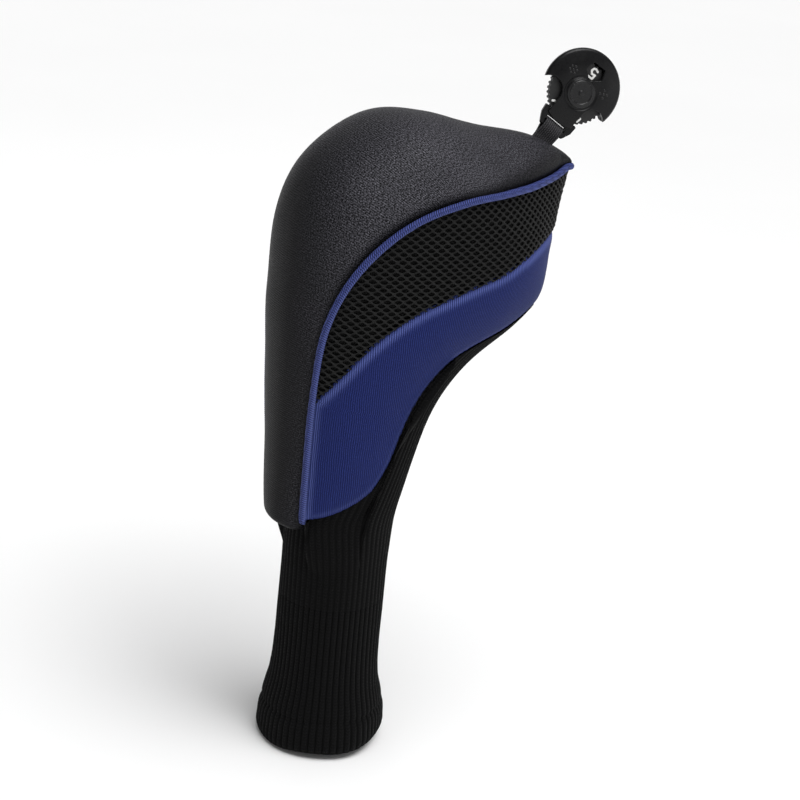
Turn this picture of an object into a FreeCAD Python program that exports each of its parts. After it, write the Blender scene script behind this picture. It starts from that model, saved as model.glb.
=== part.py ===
import FreeCAD, Part
import math
import os

import Sketcher
from FreeCAD import Rotation, Vector

# Cover for a golf club's head: a padded, lined head with piped seams, a rib-knit neck sock
# and a plastic number tag on a webbing loop.
# Row frame, millimetres: the origin is the centre of the sock's open hem, +Z runs up the
# neck, +X points to the toe of the head and the cover is the same on both sides of Y = 0.

doc = FreeCAD.newDocument("head_cover")
sheet = doc.addObject("Spreadsheet::Sheet", "sizes")


# ---------------------------------------------------------------- driving dimensions

# The head is lofted through flat sections. Each one has a back point and a front point in
# the plane Y = 0, a half width, the place of the widest point (0 front, 1 back) and the
# powers of the superellipses on the back and front sides of that point.
SECTION_COLUMNS = ("back_x", "back_z", "front_x", "front_z", "half_width",
                   "widest", "back_power", "front_power")
HEAD_SECTIONS = [
    (-33.0, 112.0, 25.0, 109.0, 26.0, 0.50, 2.3, 2.0),
    (-35.5, 128.0, 29.5, 125.0, 29.0, 0.50, 2.4, 2.0),
    (-37.0, 155.0, 35.0, 147.0, 33.0, 0.52, 2.5, 2.0),
    (-38.5, 190.0, 43.5, 172.0, 37.0, 0.54, 2.6, 2.0),
    (-40.0, 226.0, 56.0, 194.0, 41.0, 0.56, 2.6, 2.0),
    (-37.5, 260.0, 74.0, 210.0, 44.0, 0.57, 2.6, 2.0),
    (-25.0, 289.0, 85.0, 219.0, 45.0, 0.58, 2.5, 2.0),
    (-2.0, 307.0, 90.0, 224.0, 43.0, 0.60, 2.3, 2.0),
    (29.0, 309.0, 92.0, 227.0, 36.5, 0.62, 2.2, 2.0),
    (60.0, 302.0, 93.0, 229.0, 27.0, 0.64, 2.1, 2.0),
    (85.0, 294.0, 92.5, 231.0, 16.5, 0.62, 2.0, 2.0),
    (98.0, 288.0, 93.2, 233.5, 8.5, 0.60, 2.0, 2.0),
    (105.0, 283.0, 93.8, 236.0, 1.5, 0.60, 2.0, 2.0),
]

SIZES = {
    # layers of the head, as depths below its outer surface
    "skin_depth": 1.3,
    "foam_top": 1.5,
    "foam_depth": 4.6,
    "lining_top": 4.8,
    "lining_depth": 6.0,
    "gusset_depth": 2.4,
    "padding_bottom_z": 121.0,
    # piping in the seam round the crown
    "piping_radius": 1.9,
    "piping_hole": 1.2,
    "piping_cord_radius": 1.1,
    "piping_rise": 0.9,
    "piping_gap": 2.1,
    "panel_gap": 0.15,
    # rib-knit sock
    "sock_bore": 22.2,
    "sock_radius": 24.6,
    "collar_radius": 24.3,
    "collar_bore": 21.9,
    "collar_top_z": 119.0,
    "upper_bend_z": 92.0,
    "lower_bend_z": 60.0,
    "bend_half_height": 4.5,
    "sock_gap": 0.3,
    "hem_edge_radius": 29.6,
    "hem_radius": 30.0,
    "hem_widest_z": 7.5,
    "hem_top_radius": 29.2,
    "hem_top_z": 18.0,
    "hem_bore": 27.4,
    "hem_bore_top_z": 16.5,
    "flare_low_radius": 27.6,
    "flare_low_z": 25.0,
    "flare_radius": 25.8,
    "flare_z": 32.0,
    "flare_top_radius": 24.9,
    "flare_top_z": 40.0,
    "flare_bore_z": 24.0,
    "hem_fold_radius": 27.2,
    "hem_fold_bore": 25.6,
    "hem_fold_bottom_z": 1.0,
    "hem_fold_top_z": 15.0,
    # number tag: its own frame has its origin at the hub, +Y up the tag and +Z out of its face
    "hub_x": 104.2,
    "hub_z": 317.2,
    "tag_lean": 54.3,
    "tag_turn": 12.0,
    "tag_radius": 19.0,
    "tag_centre_y": 2.0,
    "tag_half_depth": 4.0,
    "tag_edge_fillet": 1.2,
    "notch_x": 13.3,
    "notch_y": -7.5,
    "notch_radius": 6.2,
    "cavity_radius": 15.3,
    "cavity_half_depth": 1.9,
    "stem_half_width": 7.0,
    "stem_top_y": -8.0,
    "corner_reach": 25.0,
    "corner_top_y": -9.5,
    "shoulder_y": -12.6,
    "buckle_half_width": 9.3,
    "buckle_taper_half_width": 9.0,
    "buckle_taper_y": -17.4,
    "buckle_foot_half_width": 6.6,
    "buckle_top_y": -13.4,
    "buckle_bottom_y": -21.9,
    "buckle_half_depth": 1.7,
    "slot_half_width": 5.6,
    "slot_top_y": -16.9,
    "slot_bottom_y": -18.9,
    "bar_fillet": 1.1,
    "window_y": 11.0,
    "window_side_y": 10.4,
    "window_half_width": 4.6,
    "window_top_half_width": 3.22,
    "window_half_height": 4.2,
    # number wheel
    "wheel_radius": 14.1,
    "wheel_half_depth": 1.5,
    "wheel_bore": 2.05,
    "wheel_teeth": 40.0,
    "tooth_radius": 0.7,
    "numeral_height": 0.25,
    "numeral_stroke": 1.15,
    "numeral_place": 10.8,
    "numeral_size": 5.6,
    # rivet through the hub
    "rivet_radius": 2.0,
    "rivet_head_radius": 6.8,
    "rivet_head_height": 0.9,
    "rivet_head_place": 4.02,
    "rivet_head_fillet": 0.4,
    "rivet_tail": 0.9,
    "rivet_hole": 2.02,
    "rivet_washer_radius": 5.0,
    "rivet_washer_height": 0.8,
    "rivet_ring_radius": 5.6,
    "rivet_ring_wire": 0.35,
    "rivet_boss_radius": 0.8,
    # webbing strap
    "strap_half_width": 5.1,
    "strap_thickness": 0.95,
    "loop_radius": 2.0,
    "strap_foot": 8.2,
    "strap_join": 5.6,
    "strap_eye_end": 4.7,
    "strap_eye_half_depth": 0.12,
    "strap_root": 9.2,
    "strap_slit_play": 0.4,
    "strap_slit_half_depth": 2.7,
    "tail_length": 3.2,
    "stitch_radius": 0.3,
    "stitch_length": 1.2,
    "stitch_row": 4.08,
    "stitch_lift": 0.02,
}


def fill_sheet():
    """Write every driving dimension into the spreadsheet, one named cell each."""
    row = 1
    values = dict(SIZES)
    for index, section in enumerate(HEAD_SECTIONS):
        for column, value in zip(SECTION_COLUMNS, section):
            values[f"section{index}_{column}"] = value
    for alias, value in values.items():
        sheet.set(f"A{row}", alias.replace("_", " "))
        sheet.set(f"B{row}", str(value))
        sheet.setAlias(f"B{row}", alias)
        row += 1
    doc.recompute()


def size(alias):
    return float(sheet.get(alias))


fill_sheet()


# ---------------------------------------------------------------- the head's surface

SECTIONS = [[size(f"section{index}_{column}") for column in SECTION_COLUMNS]
            for index in range(len(HEAD_SECTIONS))]
LAST_STATION = len(SECTIONS) - 1


def section_at(station):
    """The eight values of a section anywhere along the head, by a Catmull-Rom spline."""
    lower = min(max(int(math.floor(station)), 0), LAST_STATION - 1)
    t = station - lower
    p1 = SECTIONS[lower]
    p2 = SECTIONS[lower + 1]
    if lower > 0:
        p0 = SECTIONS[lower - 1]
    else:
        p0 = [2 * a - b for a, b in zip(p1, p2)]
    if lower < LAST_STATION - 1:
        p3 = SECTIONS[lower + 2]
    else:
        p3 = [2 * b - a for a, b in zip(p1, p2)]
    return [0.5 * (2 * b + (c - a) * t + (2 * a - 5 * b + 4 * c - d) * t ** 2
                   + (3 * b - a - 3 * c + d) * t ** 3)
            for a, b, c, d in zip(p0, p1, p2, p3)]


def half_width(place, section, inset=0.0):
    """Half width of a section at a place from 0, its front point, to 1, its back point."""
    wide, widest, back_power, front_power = section[4:]
    if place >= widest:
        ratio, power = (place - widest) / (1 - widest), back_power
    else:
        ratio, power = (widest - place) / widest, front_power
    return (wide - inset) * max(1 - min(ratio, 1.0) ** power, 0.0) ** (1 / power)


def head_point(station, place, side=-1):
    """A point of the head's outer surface; side is -1 for the right, 1 for the left."""
    section = section_at(station)
    back_x, back_z, front_x, front_z = section[:4]
    return Vector(front_x + place * (back_x - front_x),
                  side * half_width(place, section),
                  front_z + place * (back_z - front_z))


def head_normal(station, place, side=-1):
    """Outward unit normal of the head's outer surface, by small differences."""
    step = 0.01
    along = head_point(station + step, place, side) - head_point(station - step, place, side)
    across = head_point(station, place + step, side) - head_point(station, place - step, side)
    normal = along.cross(across)
    normal.normalize()
    if normal.y * side < 0:
        normal = normal * -1
    return normal


def section_point(station, place, inset, side):
    """A point of one section, moved in from the outer surface by inset."""
    section = section_at(station)
    back = Vector(section[0], 0, section[1])
    front = Vector(section[2], 0, section[3])
    chord = back - front
    length = chord.Length
    start = front + chord * (inset / length)
    span = chord * ((length - 2 * inset) / length)
    return start + span * place + Vector(0, side * half_width(place, section, inset), 0)


def last_station(inset):
    """The station where the toe gets too thin for a layer that deep."""
    station = float(LAST_STATION)
    while section_at(station)[4] < inset + 1.4:
        station -= 0.05
    return station


def half_face(stations, inset, side):
    """One side of the head's form, as a spline surface through its sections."""
    steps = 12
    places = [(1 - math.cos(math.pi * step / steps)) / 2 for step in range(steps + 1)]
    grid = [[section_point(station, place, inset, side) for place in places]
            for station in stations]
    surface = Part.BSplineSurface()
    surface.interpolate(grid)
    return surface.toShape()


def end_face(halves, station, inset):
    """Flat face that closes the form at its first or last section."""
    front = section_point(station, 0.0, inset, 1)
    back = section_point(station, 1.0, inset, 1)
    rim = []
    for face in halves:
        for edge in face.Edges:
            ends = {tuple(round(value, 4) for value in vertex.Point) for vertex in edge.Vertexes}
            if ends == {tuple(round(value, 4) for value in point) for point in (front, back)}:
                rim.append(edge)
    return Part.Face(Part.Wire(rim))


def head_solid(inset, first=0.0):
    """The head's solid, moved in from its outer surface by inset."""
    last = last_station(inset)
    stations = [first] + [0.5 * half for half in range(1, 24) if 0.5 * half < last - 0.2]
    stations.append(last)
    halves = [half_face(stations, inset, side) for side in (-1, 1)]
    ends = [end_face(halves, station, inset) for station in (first, last)]
    skin = Part.Compound(halves + ends)
    skin.sewShape()
    solid = Part.Solid(skin.Shells[0])
    if solid.Volume < 0:
        solid.reverse()
    return solid


# ---------------------------------------------------------------- seams, seen from the side

# Seams as (station, place) pairs. Seen along Y they are plain curves, so a panel is the
# part of a shell that lies inside an outline extruded along Y.
PIPING_SEAM = [(-0.5, 0.885), (0.0, 0.885), (1.0, 0.885), (2.0, 0.895), (3.0, 0.90),
               (4.0, 0.88), (5.0, 0.82), (6.0, 0.74), (7.0, 0.665), (8.0, 0.65),
               (9.0, 0.70), (10.0, 0.79), (11.0, 0.89), (12.0, 1.0)]
MESH_SEAM = [(2.9, 0.89), (3.4, 0.775), (4.0, 0.66), (4.7, 0.54), (5.4, 0.425),
             (6.2, 0.335), (7.2, 0.30), (8.3, 0.31), (9.6, 0.35), (11.0, 0.38), (12.0, 0.38)]
SOLE_SEAM = [(0.76, 0.885), (0.9, 0.77), (1.15, 0.605), (1.45, 0.46), (1.9, 0.365),
             (2.6, 0.315), (3.4, 0.28), (4.0, 0.23), (4.5, 0.16), (5.0, 0.07), (5.4, 0.0)]
FAR = 70.0            # half length of every extrusion along Y, past both sides
LOW, HIGH = 80.0, 400.0
BACK, TOE = -90.0, 140.0


def side_curve(seam):
    points = [head_point(station, place) for station, place in seam]
    return [Vector(point.x, 0, point.z) for point in points]


def shifted(points, distance):
    """The curve moved sideways in the XZ plane, to its left as it is followed."""
    moved = []
    for index, point in enumerate(points):
        before = points[max(index - 1, 0)]
        after = points[min(index + 1, len(points) - 1)]
        along = after - before
        along.normalize()
        moved.append(point + Vector(-along.z, 0, along.x) * distance)
    return moved


def outline_prism(curve, corners):
    """Prism along Y whose outline is a spline through curve, closed by straight corners."""
    spline = Part.BSplineCurve()
    spline.interpolate(curve)
    rest = Part.makePolygon([curve[-1]] + corners + [curve[0]])
    face = Part.Face(Part.Wire([spline.toShape()] + rest.Edges))
    face.translate(Vector(0, -FAR, 0))
    return face.extrude(Vector(0, 2 * FAR, 0))


def crown_prism(distance):
    """Everything on the crown's side of the piped seam."""
    curve = shifted(side_curve(PIPING_SEAM), distance)
    end_z = curve[-1].z
    start_x = curve[0].x
    corners = [Vector(TOE, 0, end_z), Vector(TOE, 0, HIGH), Vector(BACK, 0, HIGH),
               Vector(BACK, 0, LOW), Vector(start_x, 0, LOW)]
    return outline_prism(curve, corners)


def sides_prism(distance):
    """Everything on the side panels' side of the piped seam."""
    curve = shifted(side_curve(PIPING_SEAM), -distance)
    corners = [Vector(TOE, 0, curve[-1].z), Vector(TOE, 0, LOW), Vector(curve[0].x, 0, LOW)]
    return outline_prism(curve, corners)


def mesh_prism(distance):
    """Everything above the seam between the mesh panel and the lower side panel."""
    curve = shifted(side_curve(MESH_SEAM), distance)
    corners = [Vector(TOE, 0, curve[-1].z), Vector(TOE, 0, HIGH), Vector(BACK, 0, HIGH),
               Vector(BACK, 0, curve[0].z)]
    return outline_prism(curve, corners)


def gusset_prism(distance):
    """Everything below the seam between the side panels and the knit gusset."""
    curve = shifted(side_curve(SOLE_SEAM), -distance)
    corners = [Vector(TOE, 0, LOW + 90), Vector(TOE, 0, LOW), Vector(BACK, 0, LOW),
               Vector(BACK, 0, curve[0].z)]
    return outline_prism(curve, corners)


def side_box(side, gap):
    """Half space on one side of the plane Y = 0."""
    low_y = gap if side > 0 else -FAR
    high_y = FAR if side > 0 else -gap
    return Part.makeBox(TOE - BACK, high_y - low_y, HIGH - LOW, Vector(BACK, low_y, LOW))


def lower_box(top_z):
    """Everything below a height."""
    return Part.makeBox(TOE - BACK, 2 * FAR, top_z, Vector(BACK, -FAR, 0))


# ---------------------------------------------------------------- helpers for document objects

nodes = []


def keep(obj, label):
    """Name a finished sub-part; its label names its file."""
    obj.Label = label
    nodes.append(obj)
    return obj


def shape_node(label, shape, placement=None):
    obj = doc.addObject("Part::Feature", label)
    obj.Shape = shape
    if placement is not None:
        obj.Placement = placement
    return keep(obj, label)


def hidden_shape(name, shape):
    obj = doc.addObject("Part::Feature", name)
    obj.Shape = shape
    return obj


def boolean(kind, name, base, tool):
    obj = doc.addObject(kind, name)
    obj.Base = base
    obj.Tool = tool
    return obj


def largest_solid(shape):
    return max(shape.Solids, key=lambda solid: solid.Volume)


def tube(label, radius, bore, bottom, top):
    """Upright tube from two bound cylinders; every argument is an expression."""
    outer = doc.addObject("Part::Cylinder", f"{label}_outer")
    inner = doc.addObject("Part::Cylinder", f"{label}_inner")
    for cylinder, expression in ((outer, radius), (inner, bore)):
        cylinder.setExpression("Radius", expression)
        cylinder.setExpression("Height", f"({top}) - ({bottom})")
        cylinder.setExpression("Placement.Base.z", bottom)
    return boolean("Part::Cut", label, outer, inner)


def origin_plane(body, role):
    for feature in body.Origin.OriginFeatures:
        if feature.Role == role:
            return feature
    raise ValueError(role)


def new_sketch(body, name, role="XY_Plane"):
    sketch = body.newObject("Sketcher::SketchObject", name)
    sketch.AttachmentSupport = [(origin_plane(body, role), "")]
    sketch.MapMode = "FlatFace"
    return sketch


def bind(sketch, constraint, expression):
    """Add a dimension to a sketch and bind it to the spreadsheet."""
    index = sketch.addConstraint(constraint)
    sketch.setExpression(f"Constraints[{index}]", expression)


def value_of(expression):
    """Value of an expression of spreadsheet aliases, for a sketch's first geometry."""
    return float(sheet.evalExpression(expression.replace("sizes.", "")))


def circle_in(sketch, x, y, radius):
    """Circle with its centre and radius bound; x and y may be negative."""
    centre = Vector(value_of(x), value_of(y), 0)
    circle = sketch.addGeometry(Part.Circle(centre, Vector(0, 0, 1), value_of(radius)), False)
    bind(sketch, Sketcher.Constraint("Radius", circle, value_of(radius)), radius)
    place_point(sketch, circle, 3, x, y)


def place_point(sketch, geometry, end, x, y):
    """Bind one point of a sketch to x and y; a zero value ties it to the axis."""
    for kind, expression, axis in (("DistanceX", x, -2), ("DistanceY", y, -1)):
        number = value_of(expression)
        if abs(number) < 1e-9:
            sketch.addConstraint(Sketcher.Constraint("PointOnObject", geometry, end, axis))
        else:
            bind(sketch, Sketcher.Constraint(kind, -1, 1, geometry, end, number), expression)


def polygon_in(sketch, corners):
    """Closed polygon whose corners are pairs of expressions."""
    points = [Vector(value_of(x), value_of(y), 0) for x, y in corners]
    count = len(points)
    lines = [sketch.addGeometry(Part.LineSegment(points[i], points[(i + 1) % count]), False)
             for i in range(count)]
    for i in range(count):
        sketch.addConstraint(Sketcher.Constraint("Coincident", lines[i], 2,
                                                 lines[(i + 1) % count], 1))
    for i, (x, y) in enumerate(corners):
        place_point(sketch, lines[i], 1, x, y)


def pad(body, name, sketch, length, reverse=False):
    feature = body.newObject("PartDesign::Pad", name)
    feature.Profile = sketch
    feature.setExpression("Length", length)
    feature.Reversed = reverse
    return feature


def pocket(body, name, sketch, length=None, reverse=True):
    """Cut upwards from the sketch's plane (reverse) or downwards, to a length or through."""
    feature = body.newObject("PartDesign::Pocket", name)
    feature.Profile = sketch
    feature.Reversed = reverse
    if length is None:
        feature.Type = 1
    else:
        feature.setExpression("Length", length)
    return feature


def edges_where(shape, test):
    return [f"Edge{index + 1}" for index, edge in enumerate(shape.Edges) if test(edge)]


def fillet(body, name, test, radius):
    """Round the edges of the body's tip that pass the test."""
    doc.recompute()
    base = body.Tip
    names = edges_where(base.Shape, test)
    if not names:
        raise ValueError(f"no edges for {name}")
    feature = body.newObject("PartDesign::Fillet", name)
    feature.Base = (base, names)
    feature.setExpression("Radius", radius)
    return feature


# ---------------------------------------------------------------- piping

def rounded_path(points):
    """Straight runs joined by tangent arcs, each as large as its two runs allow."""
    edges = []
    start = points[0]
    for index in range(1, len(points) - 1):
        before = points[index] - points[index - 1]
        after = points[index + 1] - points[index]
        turn = before.getAngle(after)
        cut = 0.45 * min(before.Length, after.Length)
        before.normalize()
        after.normalize()
        enter = points[index] - before * cut
        leave = points[index] + after * cut
        radius = cut / math.tan(turn / 2)
        bisector = after - before
        bisector.normalize()
        centre = points[index] + bisector * (radius / math.cos(turn / 2))
        middle = centre - bisector * radius
        edges.append(Part.LineSegment(start, enter).toShape())
        edges.append(Part.Arc(enter, middle, leave).toShape())
        start = leave
    edges.append(Part.LineSegment(start, points[-1]).toShape())
    return Part.Wire(edges)


def sweep(points, radius):
    path = rounded_path(points)
    along = points[1] - points[0]
    circle = Part.Wire([Part.Circle(points[0], along, radius).toShape()])
    solid = path.makePipeShell([circle], True, False)
    expected = math.pi * radius ** 2 * path.Length
    if abs(solid.Volume / expected - 1) > 0.02:
        raise ValueError("the piping's volume does not fit its length")
    return solid


def piping_route():
    """From the neck up the right side, round the toe and down the left side."""
    stations = [0.15, 0.8, 1.5, 2.2, 3.0, 3.7, 4.4, 5.0, 5.6, 6.2, 6.8, 7.4, 8.1, 8.9,
                9.7, 10.5, 11.2]
    rise = size("piping_rise")
    right = []
    for station in stations:
        place = seam_place(PIPING_SEAM, station)
        point = head_point(station, place) + head_normal(station, place) * rise
        right.append(point)
    tip = head_point(LAST_STATION, 1.0)
    reach = size("piping_radius")
    bend = [Vector(tip.x - 1.2, -1.7 * reach, tip.z - 4.0),
            Vector(tip.x + 1.8, 0, tip.z - 3.6),
            Vector(tip.x - 1.2, 1.7 * reach, tip.z - 4.0)]
    left = [Vector(point.x, -point.y, point.z) for point in reversed(right)]
    return right + bend + left


def seam_place(seam, station):
    """Place of a seam at a station, by straight lines between its points."""
    for (first, start), (second, end) in zip(seam, seam[1:]):
        if first <= station <= second:
            return start + (end - start) * (station - first) / (second - first)
    raise ValueError(station)


def build_piping():
    """Fabric-covered piping, and the cord inside it."""
    route = piping_route()
    cover = sweep(route, size("piping_radius")).cut(sweep(route, size("piping_hole")))
    shape_node("piping_cover", largest_solid(cover))
    shape_node("piping_cord", sweep(route, size("piping_cord_radius")))


# ---------------------------------------------------------------- the head's layers

def build_head():
    """Panels, padding, lining and knit gusset, cut from nested shells of one lofted form."""
    outer = hidden_shape("head_outer", head_solid(0.0))
    skin_inner = hidden_shape("skin_inner", head_solid(size("skin_depth"), -0.4))
    gusset_inner = hidden_shape("gusset_inner", head_solid(size("gusset_depth"), -0.4))
    foam_outer = hidden_shape("foam_outer", head_solid(size("foam_top"), -0.4))
    foam_inner = hidden_shape("foam_inner", head_solid(size("foam_depth"), -0.6))
    lining_outer = hidden_shape("lining_outer", head_solid(size("lining_top"), -0.4))
    lining_inner = hidden_shape("lining_inner", head_solid(size("lining_depth"), -0.6))
    skin = boolean("Part::Cut", "skin_shell", outer, skin_inner)
    foam = boolean("Part::Cut", "foam_shell", foam_outer, foam_inner)
    lining = boolean("Part::Cut", "lining_shell", lining_outer, lining_inner)
    knit = boolean("Part::Cut", "knit_shell", outer, gusset_inner)
    doc.recompute()

    piping_gap = size("piping_gap")
    gap = size("panel_gap")
    below = lower_box(size("padding_bottom_z"))
    play = size("strap_slit_play")
    strap_slit = strap_box(size("strap_half_width") + play, size("strap_slit_half_depth"),
                           size("strap_join") / 2,
                           size("strap_root") + size("tail_length") + play)

    groove = sweep(piping_route(), size("piping_radius") + gap)
    crown = skin.Shape.common(crown_prism(piping_gap)).cut(strap_slit).cut(groove)
    shape_node("crown_panel", largest_solid(crown))
    crown_foam = foam.Shape.common(crown_prism(gap)).cut(below)
    shape_node("crown_foam", largest_solid(crown_foam.cut(strap_slit)))

    sides = skin.Shape.common(sides_prism(piping_gap))
    mesh = sides.common(mesh_prism(gap))
    lower = sides.cut(mesh_prism(-gap)).cut(gusset_prism(-gap))
    side_foam = foam.Shape.common(sides_prism(gap)).cut(gusset_prism(-gap)).cut(below)
    whole_lining = lining.Shape.cut(below)
    for name, side in (("right", -1), ("left", 1)):
        half = side_box(side, gap)
        shape_node(f"mesh_panel_{name}", largest_solid(mesh.common(half).cut(groove)))
        shape_node(f"lower_side_panel_{name}", largest_solid(lower.common(half)))
        shape_node(f"side_foam_{name}", largest_solid(side_foam.common(half)))
        shape_node(f"lining_{name}", largest_solid(whole_lining.common(half)))

    collar_bottom = size("upper_bend_z") + size("bend_half_height")
    collar_height = size("collar_top_z") - collar_bottom
    collar = Part.makeCylinder(size("collar_radius"), collar_height, Vector(0, 0, collar_bottom))
    bore = Part.makeCylinder(size("collar_bore"), 60, Vector(0, 0, collar_bottom - 5))
    gusset = knit.Shape.common(sides_prism(piping_gap)).common(gusset_prism(gap))
    gusset = largest_solid(gusset).fuse(collar).cut(bore).removeSplitter()
    collar_zone = lower_box(size("collar_top_z"))
    shape_node("rib_knit_collar", largest_solid(gusset.common(collar_zone)))
    shape_node("rib_knit_gusset", largest_solid(gusset.cut(collar_zone)))


# ---------------------------------------------------------------- neck sock

def build_sock():
    """Rib-knit neck sock, in the lengths between and at its two bends, and its hem."""
    gap = "sizes.sock_gap"
    reach = "sizes.bend_half_height"
    keep(tube("sock_upper_bend", "sizes.sock_radius", "sizes.sock_bore",
              f"sizes.upper_bend_z - {reach} + {gap}",
              f"sizes.upper_bend_z + {reach} - {gap}"), "sock_upper_bend")
    keep(tube("sock_middle", "sizes.sock_radius", "sizes.sock_bore",
              f"sizes.lower_bend_z + {reach}",
              f"sizes.upper_bend_z - {reach}"), "sock_middle")
    keep(tube("sock_lower_bend", "sizes.sock_radius", "sizes.sock_bore",
              f"sizes.lower_bend_z - {reach} + {gap}",
              f"sizes.lower_bend_z + {reach} - {gap}"), "sock_lower_bend")
    keep(tube("hem_fold", "sizes.hem_fold_radius", "sizes.hem_fold_bore",
              "sizes.hem_fold_bottom_z", "sizes.hem_fold_top_z"), "hem_fold")

    body = doc.addObject("PartDesign::Body", "sock_lower")
    sketch = new_sketch(body, "sock_lower_profile", "XZ_Plane")
    top = f"sizes.lower_bend_z - {reach}"
    polygon_in(sketch, [
        ("sizes.hem_bore", "0.0"),
        ("sizes.hem_edge_radius", "0.0"),
        ("sizes.hem_radius", "sizes.hem_widest_z"),
        ("sizes.hem_top_radius", "sizes.hem_top_z"),
        ("sizes.flare_low_radius", "sizes.flare_low_z"),
        ("sizes.flare_radius", "sizes.flare_z"),
        ("sizes.flare_top_radius", "sizes.flare_top_z"),
        ("sizes.sock_radius", top),
        ("sizes.sock_bore", top),
        ("sizes.sock_bore", "sizes.flare_bore_z"),
        ("sizes.hem_bore", "sizes.hem_bore_top_z"),
    ])
    turn = body.newObject("PartDesign::Revolution", "sock_lower_turn")
    turn.Profile = sketch
    turn.ReferenceAxis = (sketch, ["V_Axis"])
    turn.Angle = 360
    keep(body, "sock_lower")


# ---------------------------------------------------------------- number tag

def tag_frame():
    """Placement of the number tag: it leans towards the toe and turns a little about itself."""
    lean = math.radians(size("tag_lean"))
    turn = math.radians(size("tag_turn"))
    up = Vector(math.cos(lean), 0, math.sin(lean))
    across = Vector(math.sin(lean), 0, -math.cos(lean))
    right = across * math.cos(turn) + Vector(0, -1, 0) * math.sin(turn)
    face = right.cross(up)
    hub = Vector(size("hub_x"), 0, size("hub_z"))
    return FreeCAD.Placement(hub, Rotation(right, up, face, "ZXY"))


def bar_offset():
    """Distance from the hub down to the middle of the buckle's bar."""
    return -(size("slot_bottom_y") + size("buckle_bottom_y")) / 2


def strap_frame():
    """Placement of the strap: its origin is the middle of the buckle's bar."""
    frame = tag_frame()
    middle = frame.multVec(Vector(0, -bar_offset(), 0))
    return FreeCAD.Placement(middle, frame.Rotation)


def strap_box(half_width, half_depth, near, far):
    """Box along the strap, from near to far below the bar, for the slit it enters."""
    box = Part.makeBox(2 * half_width, far - near, 2 * half_depth,
                       Vector(-half_width, -far, -half_depth))
    box.Placement = strap_frame().multiply(box.Placement)
    return box


def build_tag_shell(label, front):
    """One moulded half of the tag: a dome with two finger notches, and half of the buckle."""
    body = doc.addObject("PartDesign::Body", label)
    dome = new_sketch(body, f"{label}_dome")
    circle_in(dome, "0.0", "sizes.tag_centre_y", "sizes.tag_radius")
    pad(body, f"{label}_dome_pad", dome, "sizes.tag_half_depth")
    notches = new_sketch(body, f"{label}_notches")
    for sign in ("", "-"):
        circle_in(notches, f"{sign}sizes.notch_x", "sizes.notch_y", "sizes.notch_radius")
    pocket(body, f"{label}_notch_cut", notches)
    corners = new_sketch(body, f"{label}_corners")
    for sign in ("", "-"):
        polygon_in(corners, [(f"{sign}sizes.stem_half_width", "-sizes.corner_reach"),
                             (f"{sign}sizes.corner_reach", "-sizes.corner_reach"),
                             (f"{sign}sizes.corner_reach", "sizes.corner_top_y"),
                             (f"{sign}sizes.stem_half_width", "sizes.corner_top_y")])
    pocket(body, f"{label}_corner_cut", corners)
    fillet(body, f"{label}_edge", lambda edge: is_rim(edge), "sizes.tag_edge_fillet")
    buckle = new_sketch(body, f"{label}_buckle")
    polygon_in(buckle, [
        ("-sizes.stem_half_width", "sizes.stem_top_y"),
        ("-sizes.stem_half_width", "sizes.shoulder_y"),
        ("-sizes.buckle_half_width", "sizes.buckle_top_y"),
        ("-sizes.buckle_taper_half_width", "sizes.buckle_taper_y"),
        ("-sizes.buckle_foot_half_width", "sizes.buckle_bottom_y"),
        ("sizes.buckle_foot_half_width", "sizes.buckle_bottom_y"),
        ("sizes.buckle_taper_half_width", "sizes.buckle_taper_y"),
        ("sizes.buckle_half_width", "sizes.buckle_top_y"),
        ("sizes.stem_half_width", "sizes.shoulder_y"),
        ("sizes.stem_half_width", "sizes.stem_top_y"),
    ])
    pad(body, f"{label}_buckle_pad", buckle, "sizes.buckle_half_depth")
    slot = new_sketch(body, f"{label}_slot")
    polygon_in(slot, [
        ("-sizes.slot_half_width", "sizes.slot_bottom_y"),
        ("sizes.slot_half_width", "sizes.slot_bottom_y"),
        ("sizes.slot_half_width", "sizes.slot_top_y"),
        ("-sizes.slot_half_width", "sizes.slot_top_y"),
    ])
    pocket(body, f"{label}_slot_cut", slot)
    fillet(body, f"{label}_bar", lambda edge: is_bar_edge(edge), "sizes.bar_fillet")
    cavity = new_sketch(body, f"{label}_cavity")
    circle_in(cavity, "0.0", "0.0", "sizes.cavity_radius")
    pocket(body, f"{label}_cavity_cut", cavity, "sizes.cavity_half_depth")
    hole = new_sketch(body, f"{label}_rivet_hole")
    circle_in(hole, "0.0", "0.0", "sizes.rivet_hole")
    pocket(body, f"{label}_rivet_cut", hole)
    if front:
        window = new_sketch(body, f"{label}_window")
        polygon_in(window, [
            ("-sizes.window_half_width", "sizes.window_side_y"),
            ("0.0", "sizes.window_y - sizes.window_half_height"),
            ("sizes.window_half_width", "sizes.window_side_y"),
            ("sizes.window_top_half_width", "sizes.window_y + sizes.window_half_height"),
            ("-sizes.window_top_half_width", "sizes.window_y + sizes.window_half_height"),
        ])
        pocket(body, f"{label}_window_cut", window)
    body.Placement = tag_frame()
    if not front:
        flip = FreeCAD.Placement(Vector(0, 0, 0), Rotation(Vector(0, 1, 0), 180))
        body.Placement = tag_frame().multiply(flip)
    return keep(body, label)


def is_rim(edge):
    """The curved outer rim of the dome's face."""
    top = size("tag_half_depth")
    box = edge.BoundBox
    flat = abs(box.ZMin - top) < 1e-6 and abs(box.ZMax - top) < 1e-6
    return flat and box.YMax > size("tag_centre_y") and edge.Length > 20


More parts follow.
